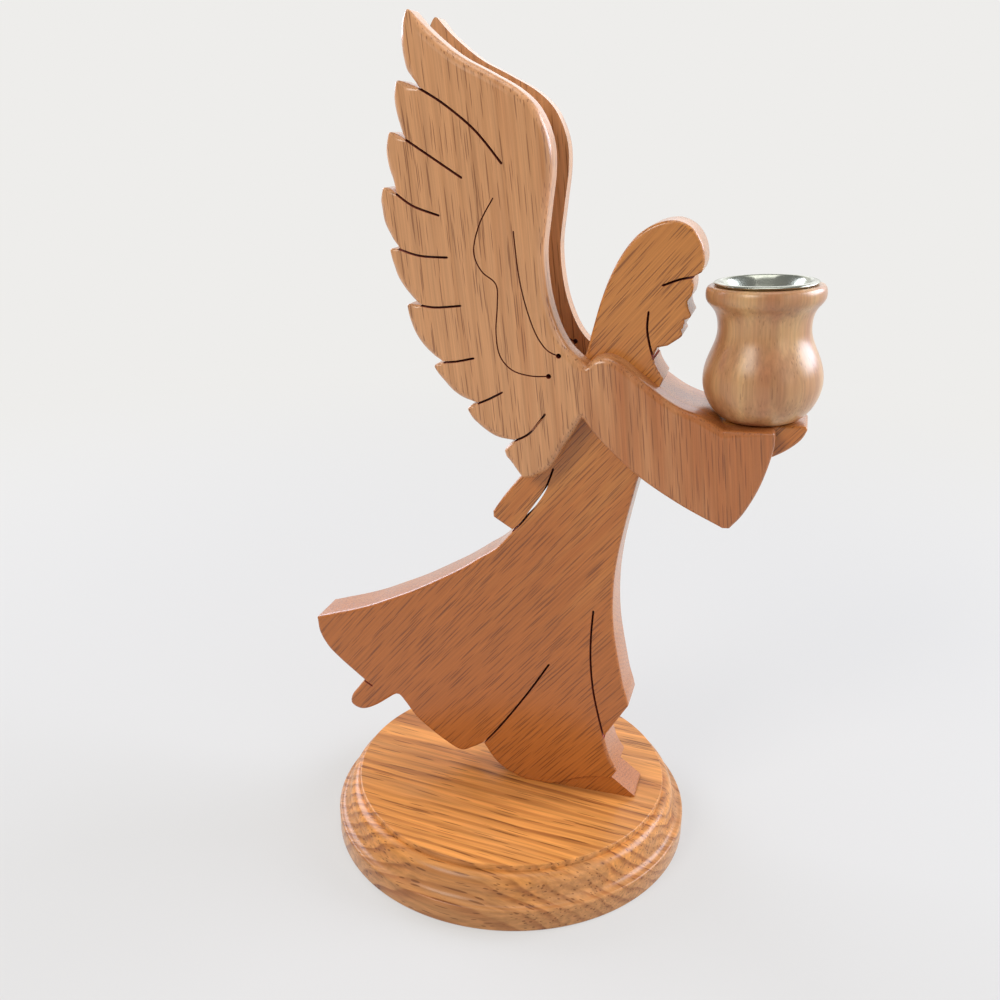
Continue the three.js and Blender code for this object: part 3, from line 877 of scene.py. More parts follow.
def add_prism(bm: bmesh.types.BMesh, ring: list[Vector | Triple], reach: Triple) -> None:
    """Adds a prism to a mesh.

    Args:
        bm: The mesh that gets the prism.
        ring: The places round its first face, in metres.
        reach: How far the prism goes from there along x, y and z, in millimetres.
    """
    face = bm.faces.new([bm.verts.new(p) for p in ring])
    grown = bmesh.ops.extrude_face_region(bm, geom=[face])["geom"]
    verts = [g for g in grown if isinstance(g, bmesh.types.BMVert)]
    bmesh.ops.translate(bm, verts=verts, vec=[c * MM for c in reach])


def cutter(name: str, bm: bmesh.types.BMesh, finish: Finish = SAW_BURN) -> bpy.types.Object:
    """Turns a mesh of closed shapes into a cutter, whose finish the walls that it leaves will have."""
    bmesh.ops.recalc_face_normals(bm, faces=bm.faces[:])
    return mesh_object(name, bm, finish)


def sawn_shapes(
    name: str, rings: list[Run], spans: list[Point], finish: Finish = SAW_BURN
) -> bpy.types.Object:
    """Builds the cutter for flat shapes of the figure's plane that go into a board.

    Args:
        name: The cutter's name.
        rings: The shapes' outlines, in millimetres.
        spans: The y that every shape starts at and the y that it ends at, once or more.
        finish: What the walls that it leaves are made of.

    Returns:
        The cutter.
    """
    bm = bmesh.new()
    for low, high in spans:
        for ring in rings:
            add_prism(bm, [figure_point(x, low, z) for x, z in ring], (0, high - low, 0))
    return cutter(name, bm, finish)


def drilled_holes(
    name: str, places: list[Vector], along: Triple, radius: float, length: float
) -> bpy.types.Object:
    """Builds the cutter for drilled holes.

    Args:
        name: The cutter's name.
        places: The middle of each hole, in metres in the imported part's frame.
        along: The holes' direction.
        radius: Their radius in millimetres.
        length: Their length in millimetres.

    Returns:
        The cutter.
    """
    bm = bmesh.new()
    turn = Vector(along).to_track_quat("Z", "Y").to_matrix().to_4x4()
    size = {"radius1": radius * MM, "radius2": radius * MM, "depth": length * MM}
    for place in places:
        matrix = Matrix.Translation(place) @ turn
        bmesh.ops.create_cone(bm, cap_ends=True, segments=DRILL_STEPS, matrix=matrix, **size)
    return cutter(name, bm)


def kerf_outline(route: Run, width: float = KERF, lead: float = 0.0) -> Run:
    """Draws the outline of a saw cut.

    Args:
        route: Points that the middle of the cut goes through.
        width: The cut's width.
        lead: How far the cut runs out past its first point.

    Returns:
        The cut's outline, pointed at its inner end.
    """
    middle = [Vector(route[0]), *smooth_run(route, RUN_STEP)]
    last = len(middle) - 1
    ahead = [
        (middle[min(i + 1, last)] - middle[max(i - 1, 0)]).normalized() for i in range(last + 1)
    ]
    middle[0] = middle[0] - ahead[0] * lead
    sides = [Vector((-a.y, a.x)) * width / 2 for a in ahead]
    left = [p + s for p, s in zip(middle, sides)]
    right = [p - s for p, s in zip(middle, sides)]
    tip = middle[-1] + ahead[-1] * width / 2
    return [tuple(p) for p in (*left, tip, *reversed(right))]


def spun(profile: Run, steps: int) -> bmesh.types.BMesh:
    """Turns a profile about the z axis.

    Args:
        profile: Radii and heights in millimetres, from the axis round to it, or a closed loop.
        steps: The number of sides.

    Returns:
        The closed mesh, in metres, with each flat end that reaches the axis as one face.
    """
    bm = bmesh.new()
    verts = [bm.verts.new((r * MM, 0, h * MM)) for r, h in profile]
    edges = [bm.edges.new(pair) for pair in zip(verts, verts[1:])]
    turn = {"cent": (0, 0, 0), "axis": (0, 0, 1), "angle": math.tau, "steps": steps}
    bmesh.ops.spin(bm, geom=[*verts, *edges], use_merge=True, **turn)
    bmesh.ops.remove_doubles(bm, verts=bm.verts[:], dist=SAME_PLACE)
    bmesh.ops.recalc_face_normals(bm, faces=bm.faces[:])
    poles = [v for v in bm.verts if math.hypot(v.co.x, v.co.y) < SAME_PLACE / 10]
    flat = [v for v in poles if all(abs(f.normal.z) > FLAT_END for f in v.link_faces)]
    bmesh.ops.dissolve_verts(bm, verts=flat)
    return bm


def turned_piece(name: str, profile: Run, place: Matrix, *finishes: Finish) -> bpy.types.Object:
    """Builds a piece turned on a lathe.

    Args:
        name: The object's name.
        profile: Radii and heights in millimetres, from the axis round to it, or a closed loop.
        place: Where the piece's own foot stands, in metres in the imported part's frame.
        *finishes: What the piece is made of.

    Returns:
        The turned piece as a closed object.
    """
    bm = spun(profile, SPIN_STEPS)
    bmesh.ops.transform(bm, matrix=place, verts=bm.verts[:])
    return mesh_object(name, bm, *finishes)


def arc(centre: Point, radii: Point, start: float, end: float, steps: int) -> Run:
    """Draws part of an ellipse.

    Args:
        centre: The ellipse's centre.
        radii: Its half width and half height.
        start: The first angle in degrees.
        end: The last angle in degrees.
        steps: The number of straight stretches.

    Returns:
        The arc's points.
    """
    angles = np.radians(np.linspace(start, end, steps + 1))
    return [(centre[0] + radii[0] * math.cos(a), centre[1] + radii[1] * math.sin(a)) for a in angles]


def bezier(controls: Run, steps: int) -> Run:
    """Draws a Bezier curve of any degree.

    Args:
        controls: The control points.
        steps: The number of straight stretches.

    Returns:
        The curve's points.
    """
    degree = len(controls) - 1
    points = []
    for t in np.linspace(0, 1, steps + 1):
        weights = [math.comb(degree, k) * (1 - t) ** (degree - k) * t**k for k in range(degree + 1)]
        points.append(tuple(sum(w * c[i] for w, c in zip(weights, controls)) for i in (0, 1)))
    return points


def seat_frame(height: float) -> Matrix:
    """Gives the leaning frame of the cup's axis, in metres, at a height in millimetres above the seat."""
    foot = Matrix.Translation(figure_point(SEAT_X, 0, SEAT_Z))
    return foot @ Matrix.Rotation(-SEAT_LEAN, 4, "Y") @ Matrix.Translation((0, 0, height * MM))


def install(piece: bpy.types.Object, body: Body, node: str) -> None:
    """Puts a finished piece in the part in the place of its CAD node.

    Args:
        piece: The finished piece.
        body: The body that carries it.
        node: The CAD node that it stands for.
    """
    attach(piece, body.value)
    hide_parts(node)
    LOG.info("%s: %d faces, carried by %s", piece.name, len(piece.data.polygons), body.value)


# Sub-assemblies

SLEEVE_TOP: Run = [(75.5, 168.9), (71.5, 170.9), (68, 172), (64.5, 173.3), (61, 175.1), (57.4, 177.4)]


@dataclass
class SawnFigure:
    """The figure in profile, sawn from one thick board."""

    thickness: float = BODY_THICKNESS
    round_radius: float = 1.3
    glued_round: float = 0.1
    # Where the sleeves are glued flush along the forearm's top: its x and z, from and to
    glued_x: Point = (57.0, CUFF_X)
    glued_z: Point = (160.0, 178.0)
    sash_slot: float = 0.9
    shoe_paring: float = 1.2
    hand_tip_x: float = 109.2
    seat_start_x: float = 79.4
    hairline: Point = (65.2, 217.8)
    chin: Point = (61.4, 196.0)
    # Share of the way down the face and how far a plain profile stands out from that line
    face_profile: tuple[Point, ...] = (
        *((0.14, 1.0), (0.3, 1.1), (0.39, 0.2), (0.5, 1.2), (0.6, 2.7), (0.655, 1.7), (0.69, 0.7)),
        *((0.735, 1.3), (0.765, 0.7), (0.8, 1.2), (0.85, 0.4), (0.91, 1.2), (0.97, 0.9)),
    )

    def face(self) -> Run:
        """Draws the plain profile from the chin up to the hairline.

        Returns:
            Its points.
        """
        top, down = Vector(self.hairline), Vector(self.chin) - Vector(self.hairline)
        out = Vector((-down.y, down.x)).normalized()
        places = [top + down * share + out * stand for share, stand in self.face_profile]
        return [*(tuple(p) for p in reversed(places)), self.hairline]

    def outline(self) -> Outline:
        """Draws the whole figure's outline, anticlockwise from the hem's foot on the base.

        Returns:
            The outline.
        """
        runs: list[Run] = [
            # Front foot and the front of the dress
            *([(56.5, 0)], [(56.3, 0.9)], [(46.2, 8.4)], [(48.5, 12.4)]),
            [(46.4, 15.7), (44.6, 19.5), (43.2, 24), (42.2, 27.8)],
            [(45.5, 33.5), (48.6, 38.8), (51.6, 44)],
            [
                *[(50.8, 47.5), (49, 53), (47.2, 61), (45.5, 69), (44, 77.5), (43.1, 88)],
                *[(43.1, 99), (44.2, 110.5), (46.2, 122.5), (48.6, 134.5), (51, 144), (56, 149.3)],
            ],
            # Forearm and hand
            [
                *[(66, 150.6), (80, 151.2), (91, 152.6), (97.5, 155), (103, 158.4)],
                *[(107.3, 162.5), (109, 166)],
            ],
            *([on_seat(self.hand_tip_x)], [on_seat(self.seat_start_x)], SLEEVE_TOP),
            # Throat, face and hair
            *([(56.2, 178.3)], [(57.3, 181.3)]),
            [(55.5, 183.7), (54.1, 186), (53.1, 188.7)],
            *([(54.4, 192.3)], [(58, 193.2)], self.face(), [(68.2, 219.6)]),
            [
                *[(68.9, 223.5), (67.6, 229.4), (63.8, 234.4), (58, 236.7), (51.5, 235.5)],
                *[(45.2, 231.4), (40, 224.6), (36, 216.3), (33, 207.3), (30.4, 196.8), (28, 187)],
                *[(21, 169.5), (13.5, 153.5), (6, 140.5)],
            ],
            # Sash
            *([(-1.5, 130.7), (-6.6, 122.8)], [(-6.4, 120.4)], [(1.8, 115.6)]),
            # Train, rear foot and hem
            [
                *[(-5, 107.4), (-12.5, 101.8), (-21, 95.6), (-33, 88.2), (-42, 83), (-51, 78.5)],
                *[(-60.5, 73.9), (-70, 70.2), (-79.5, 67), (-86.4, 64.6)],
            ],
            [(-85.6, 57.5), (-81.8, 50.6), (-76.4, 45.4), (-70.5, 40.7), (-65.2, 36.6)],
            [(-68.4, 32.2), (-71.5, 27.8), (-71.8, 23.6), (-67, 21.6), (-60.5, 24.4), (-52, 31)],
            [
                *[(-49.2, 32), (-46, 28.6), (-41, 22.2), (-34.5, 17), (-27.5, 12.4), (-20.5, 9.2)],
                *[(-15, 11.6), (-10.2, 14.8)],
            ],
            [(-8.2, 11.8), (-5.4, 7.8), (-1.6, 4.4), (3.5, 1.7), (9, 0)],
        ]
        return Outline((9, 0), runs)

    def cuts(self) -> list[bpy.types.Object]:
        """Builds the saw cuts for hairline, jaw, dress folds, sash and rear foot.

        Returns:
            The cutters.
        """
        routes: list[Run] = [
            [self.hairline, (61, 216.9), (55, 214.5)],
            [(53.1, 188.7), (51.3, 194.5), (50.4, 199.5), (50.6, 205)],
            [(42.2, 27.8), (39.5, 37.5), (36.8, 49.5), (35.3, 62), (35, 74), (35.5, 85)],
            [(-10.2, 14.8), (-4.2, 22.6), (2.6, 32.6), (10, 44.3), (18, 58)],
            [(1.8, 115.6), (5.6, 119.8), (10.2, 126.8), (14.4, 134), (17.5, 143)],
            [(-65.2, 36.6), (-61.4, 34.4)],
        ]
        slot: Run = [(6.6, 121.2), (8.6, 124.2), (10.6, 127.4), (12.2, 130.2)]
        through = [(-self.thickness, self.thickness)]
        kerfs = [kerf_outline(route, lead=KERF) for route in routes]
        return [
            sawn_shapes("dress_kerfs", kerfs, through),
            sawn_shapes("sash_slot", [kerf_outline(slot, self.sash_slot)], through),
        ]

    def shoe_parings(self) -> bpy.types.Object:
        """Builds what is pared off both faces of the front foot, up to the curve of the hem.

        Returns:
            The cutter.
        """
        instep: Run = [
            *[(17, -2), (20, 0.5), (24.5, 2.4), (31, 5.6)],
            *[(37, 7.6), (42, 8.4), (48, 8.5), (62, 8.7)],
        ]
        corner = (instep[-1][0], instep[0][1])
        ring = [instep[0], *(tuple(p) for p in smooth_run(instep, RUN_STEP)), corner]
        inner = self.thickness / 2 - self.shoe_paring
        outer = self.thickness / 2 + 1
        return sawn_shapes("shoe_parings", [ring], [(-outer, -inner), (inner, outer)], FIGURE_OAK)

    def build(self) -> None:
        """Builds and installs the figure."""
        points = self.outline().trace()
        low, high = zip(self.glued_x, self.glued_z)
        flush = ((points > low) & (points < high)).all(axis=1)
        edge = Roundover(points, np.where(flush, self.glued_round, self.round_radius))
        half = self.thickness / 2
        rings = [*edge.rings(-half, 1), *reversed(edge.rings(half, -1))]
        board = sawn_board("figure_board", rings, FIGURE_OAK)
        cut_away(board, [self.shoe_parings(), *self.cuts()])
        install(board, Body.HOLDER, "body_board")


@dataclass(frozen=True)
class Feather:
    """One feather's free edge, its top edge in to the notch, and the saw cut that goes on."""

    bow: tuple[Point, ...]
    tip: Point
    crown: Point
    notch: Point
    cut: tuple[Point, ...]


# From the lowest feather to the one below the wing's tip
FEATHERS = (
    Feather(
        ((4.3, 144.8), (2.2, 147.2), (0.8, 149.1)),
        *((0.4, 151.2), (1.5, 153.1), (4.8, 155.9)),
        ((10.2, 159.2), (16, 167)),
    ),
    Feather(
        ((0.9, 155.7), (-2, 155.8), (-5.3, 157.1), (-9.2, 159.6), (-12.1, 162.4)),
        *((-14.1, 166.5), (-12.5, 168.2), (-9.6, 169.1)),
        ((-5.8, 170.9), (-0.5, 174)),
    ),
    Feather(
        ((-12.8, 169.5), (-16.4, 170.3), (-20.2, 172.6), (-23.4, 175.8), (-25.8, 179.1)),
        *((-27.4, 182.4), (-24.7, 183.3), (-23.1, 183.7)),
        ((-18, 184.4), (-11.5, 186)),
    ),
    Feather(
        ((-24.8, 184.4), (-28.6, 186.3), (-32.4, 189.9), (-35.2, 194.1), (-36.9, 198.7)),
        *((-37.4, 204.7), (-34.5, 204.5), (-31.6, 204.3)),
        ((-26, 203.9), (-16.5, 205)),
    ),
    Feather(
        ((-33.1, 205.2), (-36.1, 207.2), (-39.1, 210.5), (-41.8, 214.9), (-43.1, 219.7)),
        *((-43.6, 224.5), (-41.7, 224.4), (-40, 224.3)),
        ((-32, 222.2), (-21.5, 222)),
    ),
    Feather(
        ((-40.4, 225.2), (-43.3, 228.2), (-46, 233.1), (-47, 238.4), (-47, 241.5)),
        *((-45.6, 245.6), (-43.4, 245.3), (-40.4, 243.4)),
        ((-34, 239.4), (-24.5, 236.5)),
    ),
    Feather(
        ((-41.9, 247.3), (-43.6, 251.4), (-44.6, 256.3), (-44.5, 259.3)),
        *((-42.8, 264.4), (-40.4, 263.8), (-36.3, 261.7)),
        ((-27.5, 256.4), (-16, 249.5)),
    ),
    Feather(
        ((-37.7, 263.5), (-39.8, 267.9), (-41.1, 273.6), (-40.9, 276.8)),
        *((-39.5, 281.2), (-35.9, 280.3), (-31, 278.4)),
        ((-22, 273.3), (-11, 265), (-1.5, 254.5)),
    ),
)


@dataclass
class WingPanel:
    """A wing and its sleeve, sawn from one thin board and rounded over on the outer face."""

    side: Side
    thickness: float = PANEL_THICKNESS
    round_radius: float = 3.3
    sleeve_round: float = 2.6
    cuff_round: float = 1.4
    # The rounding at a notch, and how much it grows by along each millimetre away from the notch
    notch_round: float = 0.8
    notch_growth: float = 0.4
    vein_kerf: float = 0.5
    vein_hole_radius: float = 0.95
    # The sleeve starts here, and its cuff lies this far below the line of the cup's seat
    sleeve_x: float = 30.5
    cuff_drop: float = 1.2
    seat_start_x: float = 80.9
    wing_tip: Point = (-35, 303.8)
    top_feather_bow: tuple[Point, ...] = (
        *((-32.9, 280.6), (-36.1, 284), (-37.3, 287.7), (-37.9, 290.9)),
        *((-38.2, 294.2), (-37.9, 297.4), (-36.9, 300.6)),
    )

    def outline(self) -> Outline:
        """Draws the panel's outline from the wing's tip, down its leading edge and round.

        Returns:
            The outline.
        """
        runs: list[Run] = [
            # Leading edge
            [
                *[(-28.5, 297.2), (-18, 289.3), (-7, 283.9), (3.5, 278.4), (10.5, 272)],
                *[(14.9, 262.5), (15.9, 252.5), (14.7, 239), (13.6, 225), (15.2, 211.5)],
                *[(18.6, 200.5), (23.5, 192), (30.6, 186)],
            ],
            # Shoulder and sleeve
            [
                *[(33.4, 188.5), (38, 189.4), (43.5, 187.2), (50.5, 182.2)],
                *[*reversed(SLEEVE_TOP), on_seat(self.seat_start_x)],
            ],
            [on_seat(CUFF_X)],
            [(98.4, 161), (95.2, 147.4), (90.2, 136), (85.6, 129.8)],
            [(83, 129.6)],
            [(67, 137), (51.8, 146), (40.5, 155.3), (29.5, 166)],
            # Foot of the wing
            [(23.8, 155.8), (18.2, 146.1), (13, 141.9), (7.8, 141.5)],
        ]
        for feather in FEATHERS:
            runs += [[*feather.bow, feather.tip], [feather.crown, feather.notch]]
        return Outline(self.wing_tip, [*runs, [*self.top_feather_bow, self.wing_tip]])

    def cuts(self) -> list[bpy.types.Object]:
        """Builds the feather cuts and the two vein cuts with their drilled starts.

        Returns:
            The cutters.
        """
        depth = BODY_THICKNESS / 2 + self.thickness + 2
        long_vein: Run = [
            *[(17, 181.3), (10, 181), (3, 182.8), (-1.6, 188), (-3, 196.5), (-2.6, 206)],
            *[(-3.2, 213.4), (-8.6, 217.8), (-11.5, 224.5), (-9.4, 234), (-4.5, 243)],
        ]
        short_vein: Run = [(20.5, 189), (16, 191), (11.6, 197), (7.6, 207.4), (5, 218), (3, 232)]
        veins = (long_vein, short_vein)
        kerfs = [kerf_outline([f.notch, *f.cut], lead=KERF / 2) for f in FEATHERS]
        kerfs += [kerf_outline(vein, self.vein_kerf) for vein in veins]
        starts = [figure_point(vein[0][0], 0, vein[0][1]) for vein in veins]
        return [
            sawn_shapes("wing_kerfs", kerfs, [(-depth, depth)]),
            drilled_holes("vein_holes", starts, (0, 1, 0), self.vein_hole_radius, 2 * depth),
        ]

    def edge_radii(self, points: np.ndarray) -> np.ndarray:
        """Gives the roundings, which are less on the sleeve, on the cuff and at the notches.

        Args:
            points: The outline's points.

        Returns:
            The rounding's radius at each point.
        """
        x, z = points.T
        sleeve = x > self.sleeve_x
        cuff = sleeve & (z < on_seat(x)[1] - self.cuff_drop)
        radii = np.select([cuff, sleeve], [self.cuff_round, self.sleeve_round], self.round_radius)
        notches = np.array([feather.notch for feather in FEATHERS])
        apart = np.linalg.norm(points[:, None] - notches[None], axis=2).min(axis=1)
        return np.minimum(radii, self.notch_round + self.notch_growth * apart)

    def build(self) -> None:
        """Builds and installs the panel."""
        points = self.outline().trace()
        sign = self.side.value
        glued = sign * BODY_THICKNESS / 2
        edge = Roundover(points, self.edge_radii(points))
        square_edge = [figure_point(x, glued, z) for x, z in points]
        rings = [*edge.rings(glued + sign * self.thickness, -sign), square_edge]
        if self.side is Side.LEFT:
            rings.reverse()
        wing = f"{self.side.name.lower()}_wing"
        board = sawn_board(wing, rings, WING_OAK)
        cut_away(board, self.cuts())
        install(board, Body.HOLDER, f"{wing}_panel")


@dataclass
class TurnedBase:
    """The round base with its ogee edge and the counterbored screw holes underneath."""

    radius: float = 76.0
    height: float = BASE_HEIGHT
    top_radius: float = 66.6
    step: float = 2.9
    bead_radius: float = 71.2
    band: float = 9.8
    edge_ease: float = 1.0
    top_ease: float = 0.5
    # Room above the screws' heads
    head_room: float = 0.6

    def profile(self) -> Run:
        """Draws the edge: band, cove, bead and a square step up to the flat top.

        Returns:
            The profile from the axis round to the axis again.
        """
        shoulder = self.height - self.step
        middle = (shoulder + self.band) / 2
        swell = (shoulder - self.band) / 2
        ledge = self.radius - self.edge_ease
        foot, top = (self.edge_ease,) * 2, (self.top_ease,) * 2
        return [
            (0, 0),
            *arc((ledge, self.edge_ease), foot, -90, 0, 5),
            *arc((ledge, self.band - self.edge_ease), foot, 0, 90, 5),
            *arc((ledge, middle), (ledge - self.bead_radius, swell), 270, 180, 12),
            *arc((self.top_radius, middle), (self.bead_radius - self.top_radius, swell), 0, 90, 14)[1:],
            *arc((self.top_radius - self.top_ease, self.height - self.top_ease), top, 0, 90, 4),
            (0, self.height),
        ]

    def build(self) -> None:
        """Builds and installs the base."""
        disc = turned_piece("turned_base", self.profile(), Matrix(), BASE_OAK)
        mouths = [Vector((x * MM, 0, 0)) for x in BASE_SCREW_X.values()]
        # Each hole is drilled from as far below the base as it goes into it
        holes = {
            "recesses": (SCREW_HEAD_ROOM, 2 * (BASE_SCREW_RECESS + self.head_room)),
            "shank_holes": (SCREW_HOLE_RADIUS, 2 * (self.height + 2)),
        }
        cut_away(disc, [drilled_holes(n, mouths, (0, 0, 1), *size) for n, size in holes.items()])
        install(disc, Body.HOLDER, "base")


@dataclass
class CandleCup:
    """The turned cup: foot, belly, waist and beaded rim, bored for the insert."""

    height: float = CUP_HEIGHT
    foot_radius: float = 11.5
    foot_flat: float = 5.0
    belly_radius: float = 21.2
    belly_height: float = 14.8
    waist_radius: float = 16.3
    waist_height: float = 33.3
    rim_radius: float = 20.8
    rim_bead: float = 6.2
    bore_radius: float = 12.2
    bore_depth: float = CUP_BORE_DEPTH
    flare_radius: float = 16.2
    flare_depth: float = 5.1
    lip_radius: float = 19.2
    countersink_depth: float = 2.9

    def profile(self) -> Run:
        """Draws the outside up to the rim, the bore down to its floor and the screw's hole.

        Returns:
            The profile as a closed loop.
        """
        belly, waist = (self.belly_radius, self.belly_height), (self.waist_radius, self.waist_height)
        rim = (self.rim_radius, self.height - self.rim_bead / 2)
        climb = self.waist_height - self.belly_height
        neck = rim[1] - self.waist_height
        swell = [(self.foot_radius + self.foot_flat, 0.8), (belly[0], belly[1] * 0.55)]
        taper = [(belly[0], belly[1] + climb * 0.44), (waist[0], belly[1] + climb * 0.66)]
        cove = [(waist[0], waist[1] + neck * 0.72), (rim[0], waist[1] + neck * 0.64)]
        bead = [(rim[0], self.height - 0.2), (self.lip_radius, self.height)]
        floor = self.height - self.bore_depth
        return [
            (SCREW_HOLE_RADIUS, 0),
            *bezier([(self.foot_radius, 0), *swell, belly], 20),
            *bezier([belly, *taper, waist], 22)[1:],
            *bezier([waist, *cove, rim], 18)[1:],
            *bezier([rim, *bead], 9)[1:],
            (self.flare_radius, self.height),
            (self.bore_radius, self.height - self.flare_depth),
            (self.bore_radius, floor),
            (SCREW_HEAD_ROOM, floor),
            (SCREW_HEAD_ROOM, floor - 0.3),
            (SCREW_HOLE_RADIUS, floor - self.countersink_depth),
            (SCREW_HOLE_RADIUS, 0),
        ]

    def build(self) -> None:
        """Builds and installs the cup, with bare wood in the screw's hole."""
        place = seat_frame(SEAT_GAP)
        cup = turned_piece("turned_cup", self.profile(), place, CUP_WOOD, SAW_BURN)
        from_axis = place.inverted()
        for face in cup.data.polygons:
            middle = from_axis @ face.center
            drilled = math.hypot(middle.x, middle.y) < SCREW_HEAD_ROOM * MM
            face.material_index = int(drilled and abs((from_axis.to_3x3() @ face.normal).z) < 0.9)
        install(cup, Body.HOLDER, "candle_cup")


@dataclass
class TaperInsert:
    """The drawn metal insert with its rolled flange."""

    bore_radius: float = 11.1
    wall: float = 0.8
    depth: float = 24.0
    floor_round: float = 1.0
    floor_fillet: float = 1.2
    flange_radius: float = 18.2
    crest: float = 1.2
    flare_radius: float = 15.6
    flare_depth: float = 4.8
    # Control points of the curve from the flange's crest down to the bore
    bowl: tuple[Point, ...] = ((14.4, -0.9), (12.2, -3.6))

    def profile(self) -> Run:
        """Draws the outside from the floor up, over the flange's roll and down the bore.

        Returns:
            The profile from the axis round to the axis again.
        """
        outer = self.bore_radius + self.wall
        crest = (self.flare_radius + 0.9, self.crest)
        edge = (self.flange_radius, self.wall * 0.7)
        floor = self.wall - self.depth
        under, fillet = self.floor_round, self.floor_fillet
        throat = (self.bore_radius, -self.flare_depth)
        return [
            (0, -self.depth),
            *arc((outer - under, under - self.depth), (under, under), -90, 0, 5),
            (outer, -self.flare_depth),
            (self.flare_radius, 0),
            (self.flange_radius - 0.5, 0),
            *bezier([edge, (self.flange_radius - 0.2, self.crest - 0.1), crest], 9),
            *bezier([crest, (self.flare_radius - 0.5, self.crest), *self.bowl, throat], 16)[1:],
            *arc((self.bore_radius - fillet, floor + fillet), (fillet, fillet), 0, -90, 6),
            (0, floor),
        ]

    def build(self) -> None:
        """Builds and installs the insert."""
        place = seat_frame(CUP_HEIGHT + 2 * SEAT_GAP)
        insert = turned_piece("taper_insert", self.profile(), place, NICKEL_PLATE)
        install(insert, Body.INSERT, "cup_insert")


@dataclass
class WoodScrew:
    """A countersunk wood screw with a cross recess and a coarse thread."""

    name: str
    length: float
    head_radius: float = 4.1
    head_edge: float = 0.4
    head_height: float = 2.6
    shank_radius: float = 2.1
    core_radius: float = 1.45
    point: float = 5.0
    pitch: float = 1.8
    thread_share: float = 0.6
    thread_half_width: float = 0.45
    thread_root: float = 0.15
    steps_per_turn: int = 24
    recess_width: float = 1.0
    recess_reach: float = 2.2
    recess_depth: float = 1.5

    def shaft(self) -> bmesh.types.BMesh:
        """Builds the head, shank, core and point, with the head's flat top at height 0.

        Returns:
            The mesh.
        """
        thread_start = self.length * (1 - self.thread_share)
        profile = [
            (0, 0),
            (self.head_radius, 0),
            (self.head_radius, self.head_edge),
            (self.shank_radius, self.head_height),
            (self.shank_radius, thread_start),
            (self.core_radius, thread_start + 1),
            (self.core_radius, self.length - self.point),
            (0, self.length),
        ]
        return spun(profile, SCREW_STEPS)

    def add_thread(self, bm: bmesh.types.BMesh) -> None:
        """Winds a thread of triangular section round the core.

        Args:
            bm: The mesh that holds the shaft.
        """
        start = self.length * (1 - self.thread_share) + 2
        turns = (self.length - self.point - 0.5 - start) / self.pitch
        inner, half = self.core_radius - self.thread_root, self.thread_half_width
        corners = [(inner, start - half), (self.shank_radius, start), (inner, start + half)]
        section = bm.faces.new([bm.verts.new((r * MM, 0, h * MM)) for r, h in corners])
        bmesh.ops.spin(
            bm,
            geom=[section],
            cent=(0, 0, 0),
            axis=(0, 0, 1),
            dvec=(0, 0, self.pitch * MM / self.steps_per_turn),
            angle=math.tau * turns,
            steps=round(self.steps_per_turn * turns),
        )

    def cross(self) -> bpy.types.Object:
        """Builds the cutter for the cross recess in the head.

        Returns:
            The cutter.
        """
        half, reach = self.recess_width / 2, self.recess_reach
        arm = [Vector((reach, -half)), Vector((reach, half)), Vector((half, half))]
        turns = [Matrix.Rotation(math.radians(90 * quarter), 2) for quarter in range(4)]
        bm = bmesh.new()
        ring = [(p.x * MM, p.y * MM, -MM) for p in (turn @ p for turn in turns for p in arm)]
        add_prism(bm, ring, (0, 0, 1 + self.recess_depth))
        return cutter(f"{self.name}_cross", bm, ZINC_PLATE)

    def build(self, place: Matrix) -> None:
        """Builds and installs the screw.

        Args:
            place: Where the middle of its head lies, with the point along its own z.
        """
        screw = mesh_object(f"{self.name}_detail", self.shaft(), ZINC_PLATE)
        cut_away(screw, [self.cross()])
        bm = bmesh.new()
        bm.from_mesh(screw.data)
        self.add_thread(bm)
        bmesh.ops.recalc_face_normals(bm, faces=bm.faces[:])
        bm.to_mesh(screw.data)
        bm.free()
        mark_sharp_edges(screw.data)
        screw.data.transform(place)
        install(screw, Body.HOLDER, self.name)


# Studio


@dataclass
class ViewCamera:
    """The camera at the photograph's place, in millimetres and degrees."""

    place: Triple = (100.93, -374.4, 290.41)
    yaw: float = 15.988
    pitch: float = 20.103
    roll: float = 0.517
    focal_pixels: float = 1024.73
    frame_pixels: float = 1000.0
    sensor: float = 36.0
    # The nearest and the farthest that it sees, in metres
    clip: Point = (0.01, 50.0)

    def build(self) -> None:
        """Makes the camera and hands it to the scene."""
        yaw, pitch, roll = (math.radians(a) for a in (self.yaw, self.pitch, self.roll))
        level = Vector((-math.sin(yaw), math.cos(yaw), 0))
        right = Vector((math.cos(yaw), math.sin(yaw), 0))
        ahead = level * math.cos(pitch) + Vector((0, 0, -math.sin(pitch)))
        above = level * math.sin(pitch) + Vector((0, 0, math.cos(pitch)))
        rolled_right = right * math.cos(roll) + above * math.sin(roll)
        rolled_up = -right * math.sin(roll) + above * math.cos(roll)
        turn = Matrix((rolled_right, rolled_up, -ahead)).transposed().to_4x4()
        data = bpy.data.cameras.new("view_camera")
        data.sensor_width = self.sensor
        data.lens = self.focal_pixels / self.frame_pixels * self.sensor
        data.clip_start, data.clip_end = self.clip
        camera = bpy.data.objects.new("view_camera", data)
        camera.matrix_world = Matrix.Translation(Vector(self.place) * MM) @ turn
        bpy.context.scene.collection.objects.link(camera)
        bpy.context.scene.camera = camera


